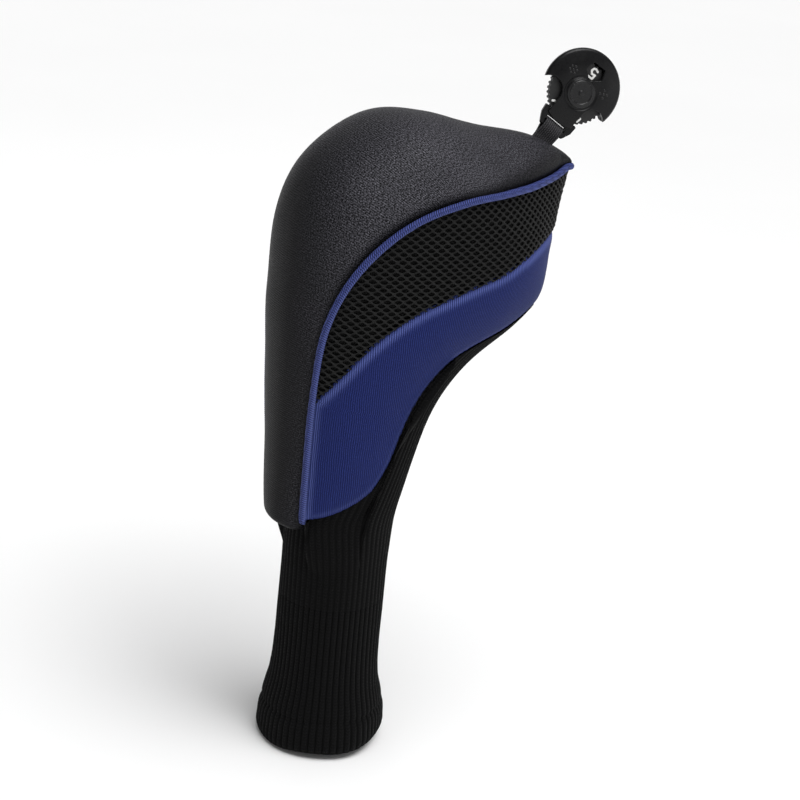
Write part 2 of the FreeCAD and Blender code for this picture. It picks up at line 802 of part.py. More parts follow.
def is_bar_edge(edge):
    """The long edges of the buckle's bar, on the outer face."""
    depth = size("buckle_half_depth")
    box = edge.BoundBox
    flat = abs(box.ZMin - depth) < 1e-6 and abs(box.ZMax - depth) < 1e-6
    level = box.YMax - box.YMin < 1e-6
    low = box.YMax < size("slot_bottom_y") + 1e-6
    return flat and level and low and box.XLength > 5


def build_wheel():
    """Number wheel: a disc with a toothed rim and a bore for the rivet."""
    body = doc.addObject("PartDesign::Body", "number_wheel")
    disc = new_sketch(body, "wheel_disc")
    circle_in(disc, "0.0", "0.0", "sizes.wheel_radius")
    circle_in(disc, "0.0", "0.0", "sizes.wheel_bore")
    base = pad(body, "wheel_pad", disc, "2 * sizes.wheel_half_depth")
    base.Midplane = True
    doc.recompute()
    plain_volume = base.Shape.Volume
    tooth = new_sketch(body, "wheel_tooth")
    circle_in(tooth, "0.0", "sizes.wheel_radius", "sizes.tooth_radius")
    ridge = pad(body, "wheel_tooth_pad", tooth, "2 * sizes.wheel_half_depth")
    ridge.Midplane = True
    ring = body.newObject("PartDesign::PolarPattern", "wheel_teeth")
    ring.Originals = [ridge]
    ring.Axis = (disc, ["N_Axis"])
    ring.Angle = 360
    ring.Occurrences = int(size("wheel_teeth"))
    body.Tip = ring
    doc.recompute()
    if body.Shape.Volume <= plain_volume:
        raise ValueError("the wheel has no teeth")
    body.Placement = tag_frame()
    keep(body, "number_wheel")


# Strokes of the wheel's five marks, in units of the numeral's height, in their order round
# the wheel, counter-clockwise from the window.
NUMERALS = {
    "5": [[(0.3, 0.5), (-0.22, 0.5), (-0.28, 0.05), (0.08, 0.12), (0.3, -0.12),
           (0.22, -0.42), (-0.02, -0.5), (-0.3, -0.38)]],
    "X": [[(-0.3, -0.5), (0.3, 0.5)], [(-0.3, 0.5), (0.3, -0.5)]],
    "7": [[(-0.3, 0.5), (0.3, 0.5), (-0.08, -0.5)]],
    "3": [[(-0.28, 0.4), (0.0, 0.5), (0.26, 0.3), (0.02, 0.04), (0.3, -0.24),
           (0.0, -0.5), (-0.3, -0.38)]],
    "4": [[(0.14, -0.5), (0.14, 0.5), (-0.32, -0.2), (0.34, -0.2)]],
}


def stroke_solid(points, width, height):
    """Thick line with round ends and corners."""
    pieces = [Part.makeCylinder(width / 2, height, point) for point in points]
    for start, end in zip(points, points[1:]):
        along = end - start
        angle = math.degrees(math.atan2(along.y, along.x))
        bar = Part.makeBox(along.Length, width, height, Vector(0, -width / 2, 0))
        bar.Placement = FreeCAD.Placement(start, Rotation(Vector(0, 0, 1), angle))
        pieces.append(bar)
    return pieces[0].multiFuse(pieces[1:]).removeSplitter()


def build_numerals():
    """Raised marks on the wheel, one every 72 degrees, with their feet towards the rim."""
    solids = []
    for index, strokes in enumerate(NUMERALS.values()):
        pieces = []
        for stroke in strokes:
            points = [Vector(x, y, 0) * size("numeral_size") for x, y in stroke]
            pieces.append(stroke_solid(points, size("numeral_stroke"), size("numeral_height")))
        solid = pieces[0]
        if len(pieces) > 1:
            solid = pieces[0].multiFuse(pieces[1:]).removeSplitter()
        # every mark's top points at the hub
        solid.rotate(Vector(0, 0, 0), Vector(0, 0, 1), 180)
        solid.translate(Vector(0, size("numeral_place"), size("wheel_half_depth")))
        solid.rotate(Vector(0, 0, 0), Vector(0, 0, 1), index * 72.0)
        solids.append(largest_solid(solid))
    shape_node("wheel_numerals", Part.makeCompound(solids), tag_frame())


def build_rivet():
    """Rivet that holds the two shells and carries the wheel, and its washer behind."""
    head_z = size("rivet_head_place")
    face_z = head_z + size("rivet_head_height")
    tail_z = -size("tag_half_depth") - size("rivet_tail")
    shank = Part.makeCylinder(size("rivet_radius"), head_z - tail_z, Vector(0, 0, tail_z))
    head = Part.makeCylinder(size("rivet_head_radius"), size("rivet_head_height"),
                             Vector(0, 0, head_z))
    head = head.makeFillet(size("rivet_head_fillet"),
                           [edge for edge in head.Edges if edge.BoundBox.ZMin > face_z - 0.01])
    ring = Part.makeTorus(size("rivet_ring_radius"), size("rivet_ring_wire"),
                          Vector(0, 0, face_z))
    boss = Part.makeSphere(size("rivet_boss_radius"), Vector(0, 0, face_z))
    rivet = shank.multiFuse([head, ring, boss]).removeSplitter()
    shape_node("hub_rivet", largest_solid(rivet), tag_frame())

    washer_z = -size("tag_half_depth") - size("rivet_washer_height") - 0.02
    washer = Part.makeCylinder(size("rivet_washer_radius"), size("rivet_washer_height"),
                               Vector(0, 0, washer_z))
    hole = Part.makeCylinder(size("rivet_hole"), 3 * size("rivet_washer_height"),
                             Vector(0, 0, washer_z - size("rivet_washer_height")))
    shape_node("rivet_washer", washer.cut(hole), tag_frame())


# ---------------------------------------------------------------- strap

def build_strap():
    """Webbing looped round the buckle's bar, its sewn tail under the crown, and the stitches."""
    half = size("strap_half_width")
    thick = size("strap_thickness")
    inner = size("loop_radius")
    outer = inner + thick
    join = -size("strap_join")
    foot = -size("strap_foot")

    def outline(radius, flat):
        """Loop outline in the strap's YZ plane: an arc over the bar and two legs."""
        arc = Part.Arc(Vector(0, 0, radius), Vector(0, radius, 0), Vector(0, 0, -radius))
        legs = [Vector(0, 0, -radius), Vector(0, join, -flat), Vector(0, foot, -flat),
                Vector(0, foot, flat), Vector(0, join, flat), Vector(0, 0, radius)]
        return Part.Face(Part.Wire([arc.toShape()] + Part.makePolygon(legs).Edges))

    def prism(face):
        face.translate(Vector(-half, 0, 0))
        return face.extrude(Vector(2 * half, 0, 0))

    eye_arc = Part.Arc(Vector(0, 0, inner), Vector(0, inner, 0), Vector(0, 0, -inner))
    eye_end = -size("strap_eye_end")
    eye_half = size("strap_eye_half_depth")
    eye_legs = Part.makePolygon([Vector(0, 0, -inner), Vector(0, eye_end, -eye_half),
                                 Vector(0, eye_end, eye_half), Vector(0, 0, inner)])
    eye = prism(Part.Face(Part.Wire([eye_arc.toShape()] + eye_legs.Edges)))
    loop = prism(outline(outer, thick)).cut(eye)
    shape_node("strap_webbing", largest_solid(loop), strap_frame())

    root = size("strap_root")
    tail = Part.makeBox(2 * half, size("tail_length"), 2 * thick,
                        Vector(-half, -root - size("tail_length"), -thick))
    shape_node("strap_tail", tail, strap_frame())

    stitches = []
    depth = thick + size("stitch_radius") + size("stitch_lift")
    for side in (-1, 1):
        for row in (-1, 1):
            start = Vector(row * size("stitch_row"), -root, side * depth)
            stitch = Part.makeCylinder(size("stitch_radius"), size("stitch_length"), start,
                                       Vector(0, -1, 0))
            stitches.append(stitch)
    shape_node("strap_stitches", Part.makeCompound(stitches), strap_frame())


# ---------------------------------------------------------------- build, check and write

build_head()
build_piping()
build_sock()
build_tag_shell("tag_front_shell", True)
build_tag_shell("tag_back_shell", False)
build_wheel()
build_numerals()
build_rivet()
build_strap()
doc.recompute()

faults = []
for obj in doc.Objects:
    if "Invalid" in obj.State or "Error" in obj.State:
        faults.append(f"{obj.Name}: {obj.State}")
for node in nodes:
    if node.Shape.isNull() or not node.Shape.isValid():
        faults.append(f"{node.Label}: bad shape")
if faults:
    raise RuntimeError("; ".join(faults))

os.makedirs("parts", exist_ok=True)
for node in nodes:
    node.Shape.exportStep(f"parts/{node.Label}.step")
    print(node.Label, len(node.Shape.Solids), round(node.Shape.Volume, 1))
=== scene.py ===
"""Looks of a golf club head cover: padded crown, mesh and blue side panels, piping, rib-knit
neck and a plastic number tag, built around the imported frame. Shapes are worked out in
millimetres and turned into metres when a mesh is made."""

import math

import bpy
import numpy as np
from mathutils import Matrix, Vector
from mathutils.bvhtree import BVHTree
from mathutils.geometry import delaunay_2d_cdt
from mathutils.kdtree import KDTree


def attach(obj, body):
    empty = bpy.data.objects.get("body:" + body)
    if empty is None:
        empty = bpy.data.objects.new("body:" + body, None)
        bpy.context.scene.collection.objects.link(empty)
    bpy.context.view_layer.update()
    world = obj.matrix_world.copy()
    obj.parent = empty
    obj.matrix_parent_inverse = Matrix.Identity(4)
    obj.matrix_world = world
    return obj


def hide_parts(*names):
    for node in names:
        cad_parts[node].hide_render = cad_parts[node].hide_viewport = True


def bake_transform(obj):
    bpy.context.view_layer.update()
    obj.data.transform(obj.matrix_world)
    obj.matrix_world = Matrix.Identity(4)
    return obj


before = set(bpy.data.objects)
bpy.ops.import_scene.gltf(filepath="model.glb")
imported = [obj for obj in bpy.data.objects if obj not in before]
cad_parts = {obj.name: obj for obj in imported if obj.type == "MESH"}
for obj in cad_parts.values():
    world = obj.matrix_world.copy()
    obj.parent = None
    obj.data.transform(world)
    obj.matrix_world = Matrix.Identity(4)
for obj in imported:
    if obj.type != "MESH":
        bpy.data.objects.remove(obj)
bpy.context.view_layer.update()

MM = 0.001
RIGHT, LEFT = -1, 1          # the side's sign along Y
MIRROR = np.array([1, -1, 1])
SIDE_NAMES = {RIGHT: "right", LEFT: "left"}
INSIDE = np.array([20.0, 0.0, 200.0])       # a point well inside the head

# The head is lofted through flat sections, as in the CAD model. Each has a back point and a
# front point in the plane Y = 0, a half width, the place of the widest point (0 front,
# 1 back) and the powers of its superellipses behind and in front of that point.
HEAD_SECTIONS = np.array([
    (-33.0, 112.0, 25.0, 109.0, 26.0, 0.50, 2.3, 2.0),
    (-35.5, 128.0, 29.5, 125.0, 29.0, 0.50, 2.4, 2.0),
    (-37.0, 155.0, 34.5, 147.0, 33.0, 0.52, 2.5, 2.0),
    (-38.5, 190.0, 42.5, 172.5, 37.0, 0.54, 2.6, 2.0),
    (-40.0, 226.0, 58.0, 192.3, 41.0, 0.56, 2.6, 2.0),
    (-37.5, 260.0, 77.8, 205.6, 44.0, 0.57, 2.6, 2.0),
    (-25.0, 289.0, 88.4, 215.2, 45.0, 0.58, 2.5, 2.0),
    (-2.0, 307.0, 92.3, 221.5, 43.0, 0.60, 2.3, 2.0),
    (29.0, 309.0, 93.6, 225.5, 36.5, 0.62, 2.2, 2.0),
    (60.0, 302.0, 94.4, 229.0, 27.0, 0.64, 2.1, 2.0),
    (85.0, 294.0, 94.6, 231.0, 16.5, 0.62, 2.0, 2.0),
    (98.0, 288.0, 95.7, 233.5, 8.5, 0.60, 2.0, 2.0),
    (105.0, 283.0, 96.5, 236.0, 0.4, 0.60, 2.0, 2.0),
])
LAST_STATION = len(HEAD_SECTIONS) - 1.0

# Seams on that form, as (station, place) pairs.
PIPING_SEAM = [(-0.5, 0.885), (0.0, 0.885), (1.0, 0.885), (2.0, 0.895), (3.0, 0.90),
               (4.0, 0.88), (5.0, 0.82), (6.0, 0.74), (7.0, 0.665), (8.0, 0.65),
               (9.0, 0.70), (10.0, 0.79), (11.0, 0.89), (12.0, 1.0)]
MESH_SEAM = [(2.9, 0.89), (3.4, 0.775), (4.0, 0.66), (4.7, 0.54), (5.4, 0.425),
             (6.2, 0.335), (7.2, 0.30), (8.3, 0.31), (9.6, 0.35), (11.0, 0.38), (12.0, 0.38)]
SOLE_SEAM = [(0.76, 0.885), (0.9, 0.77), (1.15, 0.605), (1.45, 0.46), (1.9, 0.365),
             (2.6, 0.315), (3.4, 0.28), (4.0, 0.23), (4.5, 0.165), (5.0, 0.105), (5.5, 0.07),
             (6.0, 0.045), (6.6, 0.0)]
MESH_START = 2.9             # station where the mesh panel's lower corner meets the piping
BLUE_START = 0.76            # station of the blue panel's lowest corner
SOLE_END = 6.6               # station where the knit gusset runs out under the head

CROWN_FIRST = 0.56           # station of the crown's lowest row
CROWN_SINK = 2.1             # how far the seam sits below the padded surface
CROWN_ROLL = 7.0             # width of the rolled edge beside the piping
CROWN_CAP = 2.1              # most that padding pushes the crown out
CROWN_BASE = -1.65           # start of the swelling, inside the CAD form
LIP_RADIUS = 4.2
PIPING_RADIUS = 1.62
PIPING_RISE = 0.55
STITCH_PITCH = 0.95
HOLE_PITCH = 5.1             # between holes of one row of the mesh
ROW_PITCH = 1.84             # between rows
HOLE_HALF_LENGTH = 1.72
HOLE_HALF_WIDTH = 0.96
LATTICE_TURN = math.radians(-1.5)
MESH_SINK = 1.0              # the mesh lies this far below the head's form
MESH_BACK = 1.9              # and its back layer this far below the threads
BLUE_SINK = 2.0
BLUE_ROLL = 5.5
BLUE_CAP = 2.4
BLUE_BASE = -1.1
LINING_INSET = 5.3

# Neck sock
NECK_RADIUS = 24.3
HEM_TOP = 16.0
SPLIT_Z = 76.0               # the knit is two pieces that meet here, between its two bends
KNIT_TOP = 106.0             # height where the neck runs over into the head
GUSSET_SINK = 1.0
RIBS = 55
RIB_HEIGHT = 0.95
NECK_PROFILE = [(0.0, 29.9), (3.0, 30.5), (8.0, 30.4), (14.0, 29.9), (17.0, 29.1), (20.0, 28.8),
                (25.0, 27.9), (32.0, 26.4), (40.0, 25.5), (52.0, 25.0), (70.0, 24.9),
                (96.0, 24.8), (109.0, 25.0)]
# Inside of the hem and neck, as (depth below the outside, height)
NECK_INSIDE = [(0.5, -0.35), (1.1, -0.5), (1.7, -0.35), (2.2, 0.1), (2.5, 1.0), (2.5, 4.0),
               (2.5, 8.0), (2.5, 12.0), (2.7, 15.0), (2.5, 16.0), (2.1, 16.6), (1.6, 17.0),
               (1.5, 24.0), (1.5, 32.0), (1.5, 44.0), (1.5, 60.0), (1.5, SPLIT_Z)]

# Number tag and webbing: hub and directions, as the CAD model places them
TAG_LEAN = math.radians(54.3)
TAG_TURN = math.radians(12.0)
HUB = np.array([104.2, 0.0, 317.2])
BAR_OFFSET = 20.4
TAG_VOXEL = 0.24
DOME_DROP = 1.5
TAG_TAPER = 1.9
NUMERALS = 5
STRAP_ROOT = 9.2
STRAP_HALF_WIDTH = 5.1
STRAP_THICKNESS = 0.95
LOOP_RADIUS = 2.05
STRAP_END = 12.2

CAMERA_AZIMUTH = math.radians(-27.0)
CAMERA_ELEVATION = math.radians(20.0)
CAMERA_ROLL = math.radians(5.4)
CAMERA_TARGET = Vector((0.0275, 0.0, 0.171))
CAMERA_DISTANCE = 1.0
CAMERA_LENS = 95.7


# ---------------------------------------------------------------- curves and grids

def unit(vectors):
    return vectors / np.linalg.norm(vectors, axis=-1, keepdims=True)


def turns(count):
    """Angles of even steps round a circle."""
    return np.arange(count) * 2 * math.pi / count


def run_length(points):
    """Length of a line, or of each column of a grid, from its start to each of its points."""
    steps = np.linalg.norm(np.diff(points, axis=0), axis=-1)
    return np.concatenate([np.zeros_like(steps[:1]), np.cumsum(steps, axis=0)])


def dense_line(points, step):
    """The same line with points a step apart."""
    points = np.asarray(points, float)
    length = run_length(points)
    at = np.linspace(0, length[-1], max(int(length[-1] / step), 2) + 1)
    return line_at(points, length, at)


def line_at(points, length, at):
    return np.stack([np.interp(at, length, points[:, k]) for k in range(3)], axis=-1)


def smooth_line(line, rounds):
    """Evens a line, or the columns of a grid, with the ends kept."""
    for _ in range(rounds):
        line[1:-1] = 0.5 * line[1:-1] + 0.25 * (line[:-2] + line[2:])
    return line


def smooth_step(values, start, end):
    """0 at start, 1 at end, eased at both."""
    share = np.clip((values - start) / (end - start), 0, 1)
    return share * share * (3 - 2 * share)


def rolled(distance, width):
    """Height of a rolled edge: 0 at the seam, 1 from width inwards, round between."""
    share = np.clip(distance / width, 0, 1)
    return np.sqrt(np.maximum(1 - (1 - share) ** 2, 0))


def smooth_curve(pairs):
    """Function through (x, y) pairs, with a cubic Hermite between them."""
    x, y = np.array(pairs, float).T
    slope = np.gradient(y, x)

    def value(at):
        at = np.clip(at, x[0], x[-1])
        k = np.clip(np.searchsorted(x, at) - 1, 0, len(x) - 2)
        width = x[k + 1] - x[k]
        t = (at - x[k]) / width
        return ((2 * t ** 3 - 3 * t ** 2 + 1) * y[k] + (t ** 3 - 2 * t ** 2 + t) * width * slope[k]
                + (3 * t ** 2 - 2 * t ** 3) * y[k + 1] + (t ** 3 - t ** 2) * width * slope[k + 1])
    return value


piping_place = smooth_curve(PIPING_SEAM)
mesh_place = smooth_curve(MESH_SEAM)
sole_place = smooth_curve(SOLE_SEAM)
neck_radius = smooth_curve(NECK_PROFILE)


def grid_normals(points, outward):
    """Unit normals of a grid of points, turned to the side that outward points to."""
    normal = np.cross(np.gradient(points, axis=0), np.gradient(points, axis=1))
    size = np.linalg.norm(normal, axis=-1, keepdims=True)
    flat = size[..., 0] < 1e-9 * max(size.max(), 1e-12) + 1e-12
    normal = normal / np.maximum(size, 1e-12)
    normal = normal * np.sign((normal * outward).sum(-1).mean())
    good = np.argwhere(~flat)
    for i, j in np.argwhere(flat):
        nearest = good[np.abs(good - (i, j)).sum(1).argmin()]
        normal[i, j] = normal[tuple(nearest)]
    return normal


def normals_out(points):
    """Unit normals of a grid on the head, away from its inside."""
    return grid_normals(points, points - INSIDE)


def resize_grid(values, rows, columns):
    """A grid of values at more rows and columns, by straight lines."""
    for count in (rows, columns):
        at = np.linspace(0, len(values) - 1, count)
        below = np.minimum(at.astype(int), len(values) - 2)
        share = (at - below).reshape(-1, *[1] * (values.ndim - 1))
        values = values[below] * (1 - share) + values[below + 1] * share
        values = values.swapaxes(0, 1)
    return values


def blur_grid(values, passes):
    """Smooths a grid of values, with its edges kept in place."""
    for _ in range(passes):
        inner = (values[:-2, 1:-1] + values[2:, 1:-1] + values[1:-1, :-2] + values[1:-1, 2:]) / 4
        values = values.copy()
        values[1:-1, 1:-1] = 0.5 * values[1:-1, 1:-1] + 0.5 * inner
    return values


def waves(points, wavelength, seed, count=7):
    """Smooth seeded unevenness from -1 to 1, a sum of waves in random directions."""
    rng = np.random.default_rng(seed)
    total = np.zeros(points.shape[:-1])
    for _ in range(count):
        direction = rng.normal(size=3)
        direction *= 2 * math.pi / (wavelength * rng.uniform(0.7, 1.6)) / np.linalg.norm(direction)
        total += np.sin(points @ direction + rng.uniform(0, 2 * math.pi))
    return total / count


def border_of(grid):
    """The outline of a grid, once round."""
    return np.concatenate([grid[0], grid[1:, -1], grid[-1, -2::-1], grid[-2:0:-1, 0]])


def point_tree(points):
    tree = KDTree(len(points))
    for index, point in enumerate(points):
        tree.insert(point, index)
    tree.balance()
    return tree


def seam_distance(points, line, step=0.8):
    """Distance from each point to a line, which is taken as points a step apart."""
    tree = point_tree(dense_line(line, step))
    nearest = [tree.find(point)[2] for point in points.reshape(-1, 3)]
    return np.array(nearest).reshape(points.shape[:-1])


def keep_to_side(points, side):
    """Holds a panel on its own side of the middle plane, so that both meet along the ridge."""
    kept = points.copy()
    kept[..., 1] = side * np.maximum(side * points[..., 1], 0.0)
    return kept


# ---------------------------------------------------------------- surface of the head

def section_values(station):
    """The eight values of a section anywhere along the head, by a Catmull-Rom spline."""
    station = np.asarray(station, float)
    ends = (2 * HEAD_SECTIONS[0] - HEAD_SECTIONS[1], 2 * HEAD_SECTIONS[-1] - HEAD_SECTIONS[-2])
    table = np.vstack([ends[0], HEAD_SECTIONS, ends[1]])
    lower = np.clip(np.floor(station).astype(int), 0, len(HEAD_SECTIONS) - 2)
    t = (station - lower)[..., None]
    a, b, c, d = (table[lower + k] for k in range(4))
    return 0.5 * (2 * b + (c - a) * t + (2 * a - 5 * b + 4 * c - d) * t ** 2
                  + (3 * b - a - 3 * c + d) * t ** 3)


def head_surface(station, place, side):
    """Points of the head's outer form."""
    station, place = np.broadcast_arrays(np.asarray(station, float), np.asarray(place, float))
    back_x, back_z, front_x, front_z, wide, widest, back_power, front_power = np.moveaxis(
        section_values(station), -1, 0)
    behind = place >= widest
    ratio = np.where(behind, (place - widest) / (1 - widest), (widest - place) / widest)
    power = np.where(behind, back_power, front_power)
    half = wide * np.maximum(1 - np.clip(ratio, 0, 1) ** power, 0) ** (1 / power)
    return np.stack([front_x + place * (back_x - front_x), side * half,
                     front_z + place * (back_z - front_z)], axis=-1)


def dense_places(station, count=260):
    """Places of one section, close together where its curve turns, and the arc lengths."""
    widest, back_power, front_power = section_values(station)[5:8]
    turn = np.linspace(0, math.pi, count)
    ratio = np.abs(np.cos(turn))
    place = np.where(turn < math.pi / 2, widest * (1 - ratio ** (2 / front_power)),
                     widest + (1 - widest) * ratio ** (2 / back_power))
    return place, run_length(head_surface(station, place, 1))


def places_between(station, start, end, shares):
    """Places at shares of the arc length between two places of one section."""
    place, length = dense_places(station)
    low, high = np.interp([start, end], place, length)
    return np.interp(low + (high - low) * shares, length, place)


def stations_evenly(place_of, first, last, count):
    """Stations between two, evenly spaced along the curve that place_of gives."""
    fine = np.linspace(first, last, 1500)
    length = run_length(head_surface(fine, place_of(fine), LEFT))
    return np.interp(np.linspace(0, length[-1], count), length, fine)


def panel_grid(stations, columns, low_of, high_of, side, least):
    """Grid over a panel: each row runs from its low place to its high one, at least least apart."""
    shares = np.linspace(0, 1, columns)
    grid = np.zeros((len(stations), columns, 3))
    for row, station in zip(grid, stations):
        low = float(low_of(station))
        high = max(float(high_of(station)), low + least)
        row[:] = head_surface(station, places_between(station, low, high, shares), side)
    return grid


# ---------------------------------------------------------------- meshes

def add_object(name, data):
    made = bpy.data.objects.new(name, data)
    bpy.context.scene.collection.objects.link(made)
    return made


def mesh_object(name, points, faces, attributes=None, material_index=None):
    """Mesh from points in millimetres and quads or triangles given as an array."""
    points = np.asarray(points, float).reshape(-1, 3)
    faces = np.asarray(faces, np.int32)
    mesh = bpy.data.meshes.new(name)
    mesh.vertices.add(len(points))
    mesh.vertices.foreach_set("co", (points * MM).astype(np.float32).ravel())
    mesh.loops.add(faces.size)
    mesh.loops.foreach_set("vertex_index", faces.ravel())
    mesh.polygons.add(len(faces))
    starts = np.arange(0, faces.size, faces.shape[1], dtype=np.int32)
    mesh.polygons.foreach_set("loop_start", starts)
    mesh.polygons.foreach_set("use_smooth", np.ones(len(faces), bool))
    if material_index is not None:
        mesh.polygons.foreach_set("material_index", np.asarray(material_index, np.int32))
    mesh.update(calc_edges=True)
    mesh.validate()
    for key, values in (attributes or {}).items():
        values = np.asarray(values, np.float32)
        vector = values.ndim > 1
        made = mesh.attributes.new(key, "FLOAT_VECTOR" if vector else "FLOAT", "POINT")
        made.data.foreach_set("vector" if vector else "value", values.ravel())
    return add_object(name, mesh)


def woven_piece(name, grid, s, t, edge=None, **joins):
    """Piece from a grid of points, with fabric coordinates and the painted light, shade and wear that
    materials read.
    """
    attributes = {"weave": weave_vectors(s, t)}
    if edge is not None:
        attributes["edge"] = np.ravel(edge)
    return mesh_object(name, grid, grid_faces(*grid.shape[:2], **joins), attributes)


def mesh_points(mesh):
    points = np.zeros(len(mesh.vertices) * 3)
    mesh.vertices.foreach_get("co", points)
    return points.reshape(-1, 3) / MM


def grid_faces(rows, columns, closed=False, ring=False, first=0):
    """Quads of a grid of points; closed joins the last column to the first, ring the last row."""
    i = np.arange(rows if ring else rows - 1)[:, None]
    j = np.arange(columns if closed else columns - 1)[None, :]
    below = (i + 1) % rows
    following = (j + 1) % columns
    quads = np.stack([i * columns + j, below * columns + j,
                      below * columns + following, i * columns + following], axis=-1)
    return quads.reshape(-1, 4) + first


def repeated(faces, size, count):
    """The faces of one patch of points, for count patches of that size in a row."""
    return (faces + size * np.arange(count)[:, None, None]).reshape(-1, faces.shape[-1])


def weave_vectors(s, t):
    """Fabric coordinates in millimetres, for an attribute that the materials read."""
    s, t = np.broadcast_arrays(s, t)
    return np.stack([s, t, np.zeros_like(s)], axis=-1).reshape(-1, 3)


def faces_out(piece, centre=None):
    """Turns a piece's faces away from a point in millimetres, or from its own middle."""
    mesh = piece.data
    middle = Vector(mesh_points(mesh).mean(0) if centre is None else centre) * MM
    if sum((p.center - middle).dot(p.normal) * p.area for p in mesh.polygons) < 0:
        mesh.flip_normals()


# ---------------------------------------------------------------- padding

def flatten(points, rounds=2600):
    """Lays a grid of points flat with its edge lengths kept, from its shape seen along Y."""
    steps = np.diff(points, axis=0)
    run = np.hypot(steps[..., 0], steps[..., 1]) * np.where(steps[..., 0] < -0.02, -1, 1)
    flat = points[..., [0, 2]].copy()
    flat[1:, :, 0] = flat[:1, :, 0] + np.cumsum(run, axis=0)
    rows, columns = points.shape[:2]
    spans = []
    for di, dj in ((1, 0), (0, 1), (1, 1), (1, -1)):
        a = (slice(0, rows - di), slice(0, columns - dj) if dj >= 0 else slice(1, columns))
        b = (slice(di, rows), slice(dj, columns) if dj >= 0 else slice(0, columns - 1))
        rest = np.linalg.norm(points[a] - points[b], axis=-1)
        spans.append((a, b, np.maximum(rest, 1e-4)))
    for _ in range(rounds):
        move = np.zeros_like(flat)
        share = np.zeros(flat.shape[:2] + (1,))
        for a, b, rest in spans:
            gap = flat[b] - flat[a]
            length = np.maximum(np.linalg.norm(gap, axis=-1), 1e-6)
            pull = gap * ((length - rest) / length)[..., None] / 2
            weight = np.minimum(rest, 3.0)[..., None]
            move[a] += pull * weight
            move[b] -= pull * weight
            share[a] += weight
            share[b] += weight
        flat += move / share
    return flat


class Chart:
    """Triangles laid flat, to carry flat places over to values at the triangles' corners."""

    def __init__(self, flat, triangles=None):
        if triangles is None:
            quads = grid_faces(*flat.shape[:2])
            triangles = np.vstack([quads[:, [0, 1, 2]], quads[:, [0, 2, 3]]])
        self.flat = np.pad(flat.reshape(-1, 2), ((0, 0), (0, 1)))
        self.triangles = triangles
        self.tree = BVHTree.FromPolygons(self.flat.tolist(), triangles.tolist())

    def locate(self, places):
        """Corners and weights for flat places; outside, the nearest place of the edge."""
        corners = np.zeros((len(places), 3), int)
        found = np.zeros((len(places), 2))
        for index, (x, y) in enumerate(places):
            location, _, face, _ = self.tree.find_nearest((x, y, 0.0))
            corners[index] = self.triangles[face]
            found[index] = location[0], location[1]
        a, b, c = (self.flat[corners[:, k], :2] for k in range(3))
        v0, v1, v2 = b - a, c - a, found - a
        area = v0[:, 0] * v1[:, 1] - v0[:, 1] * v1[:, 0]
        area = np.where(np.abs(area) < 1e-12, 1e-12, area)
        second = (v2[:, 0] * v1[:, 1] - v2[:, 1] * v1[:, 0]) / area
        third = (v0[:, 0] * v2[:, 1] - v0[:, 1] * v2[:, 0]) / area
        weights = np.clip(np.stack([1 - second - third, second, third], axis=1), 0, 1)
        return corners, weights / weights.sum(1, keepdims=True)


def values_at(values, corners, weights):
    values = values.reshape(-1, values.shape[-1])
    return (values[corners] * weights[..., None]).sum(1)


def swell(points, normals, flat, cap, step=4.4):
    """How far padding pushes a panel out: cloth under pressure, sewn down round its edge."""
    outline = dense_line(np.pad(border_of(flat), ((0, 0), (0, 1))), step)[:-1]
    tree = point_tree(outline)
    chart = Chart(flat)
    low, high = outline.min(0), outline.max(0)
    places = [Vector(place[:2]) for place in outline.tolist()]
    for row, y in enumerate(np.arange(low[1], high[1], step * 0.87)):
        for x in np.arange(low[0] + (row % 2) * step / 2, high[0], step):
            gap = chart.tree.find_nearest((x, y, 0))[3]
            if gap < 1e-4 and tree.find((x, y, 0))[2] > 0.55 * step:
                places.append(Vector((x, y)))
    rim = [(k, (k + 1) % len(outline)) for k in range(len(outline))]
    made = delaunay_2d_cdt(places, rim, [], 1, 1e-5)
    sheet = np.array([tuple(v) for v in made[0]])
    triangles = np.array([f for f in made[2] if len(f) == 3])
    corners, weights = chart.locate(sheet)
    start = values_at(points, corners, weights)
    outward = values_at(normals, corners, weights)

    cloth = mesh_object("cloth", start, triangles)
    face_normals = np.array([p.normal for p in cloth.data.polygons])
    if (face_normals * outward[triangles[:, 0]]).sum() < 0:
        cloth.data.flip_normals()
    sewn = cloth.vertex_groups.new(name="sewn")
    gaps = np.array([tree.find((x, y, 0))[2] for x, y in sheet])
    sewn.add([int(k) for k in np.flatnonzero(gaps < 0.3)], 1.0, "REPLACE")
    settings = cloth.modifiers.new("cloth", "CLOTH").settings
    for key, value in {"quality": 6, "mass": 0.02, "tension_stiffness": 6, "shear_stiffness": 3,
                       "compression_stiffness": 6, "bending_stiffness": 0.3, "use_pressure": True,
                       "uniform_pressure_force": 300.0, "vertex_group_mass": "sewn"}.items():
        setattr(settings, key, value)
    settings.effector_weights.gravity = 0
    for number in range(1, 21):
        bpy.context.scene.frame_set(number)
    evaluated = cloth.evaluated_get(bpy.context.evaluated_depsgraph_get())
    move = mesh_points(evaluated.data) - start
    bpy.context.scene.frame_set(1)
    bpy.data.objects.remove(cloth)
    move = np.where(np.isfinite(move), move, 0)
    size = np.linalg.norm(move, axis=1, keepdims=True)
    move *= cap * np.tanh(size / cap) / np.maximum(size, 1e-9)
    corners, weights = Chart(sheet, triangles).locate(flat.reshape(-1, 2))
    return values_at(move, corners, weights).reshape(points.shape)


# ---------------------------------------------------------------- materials

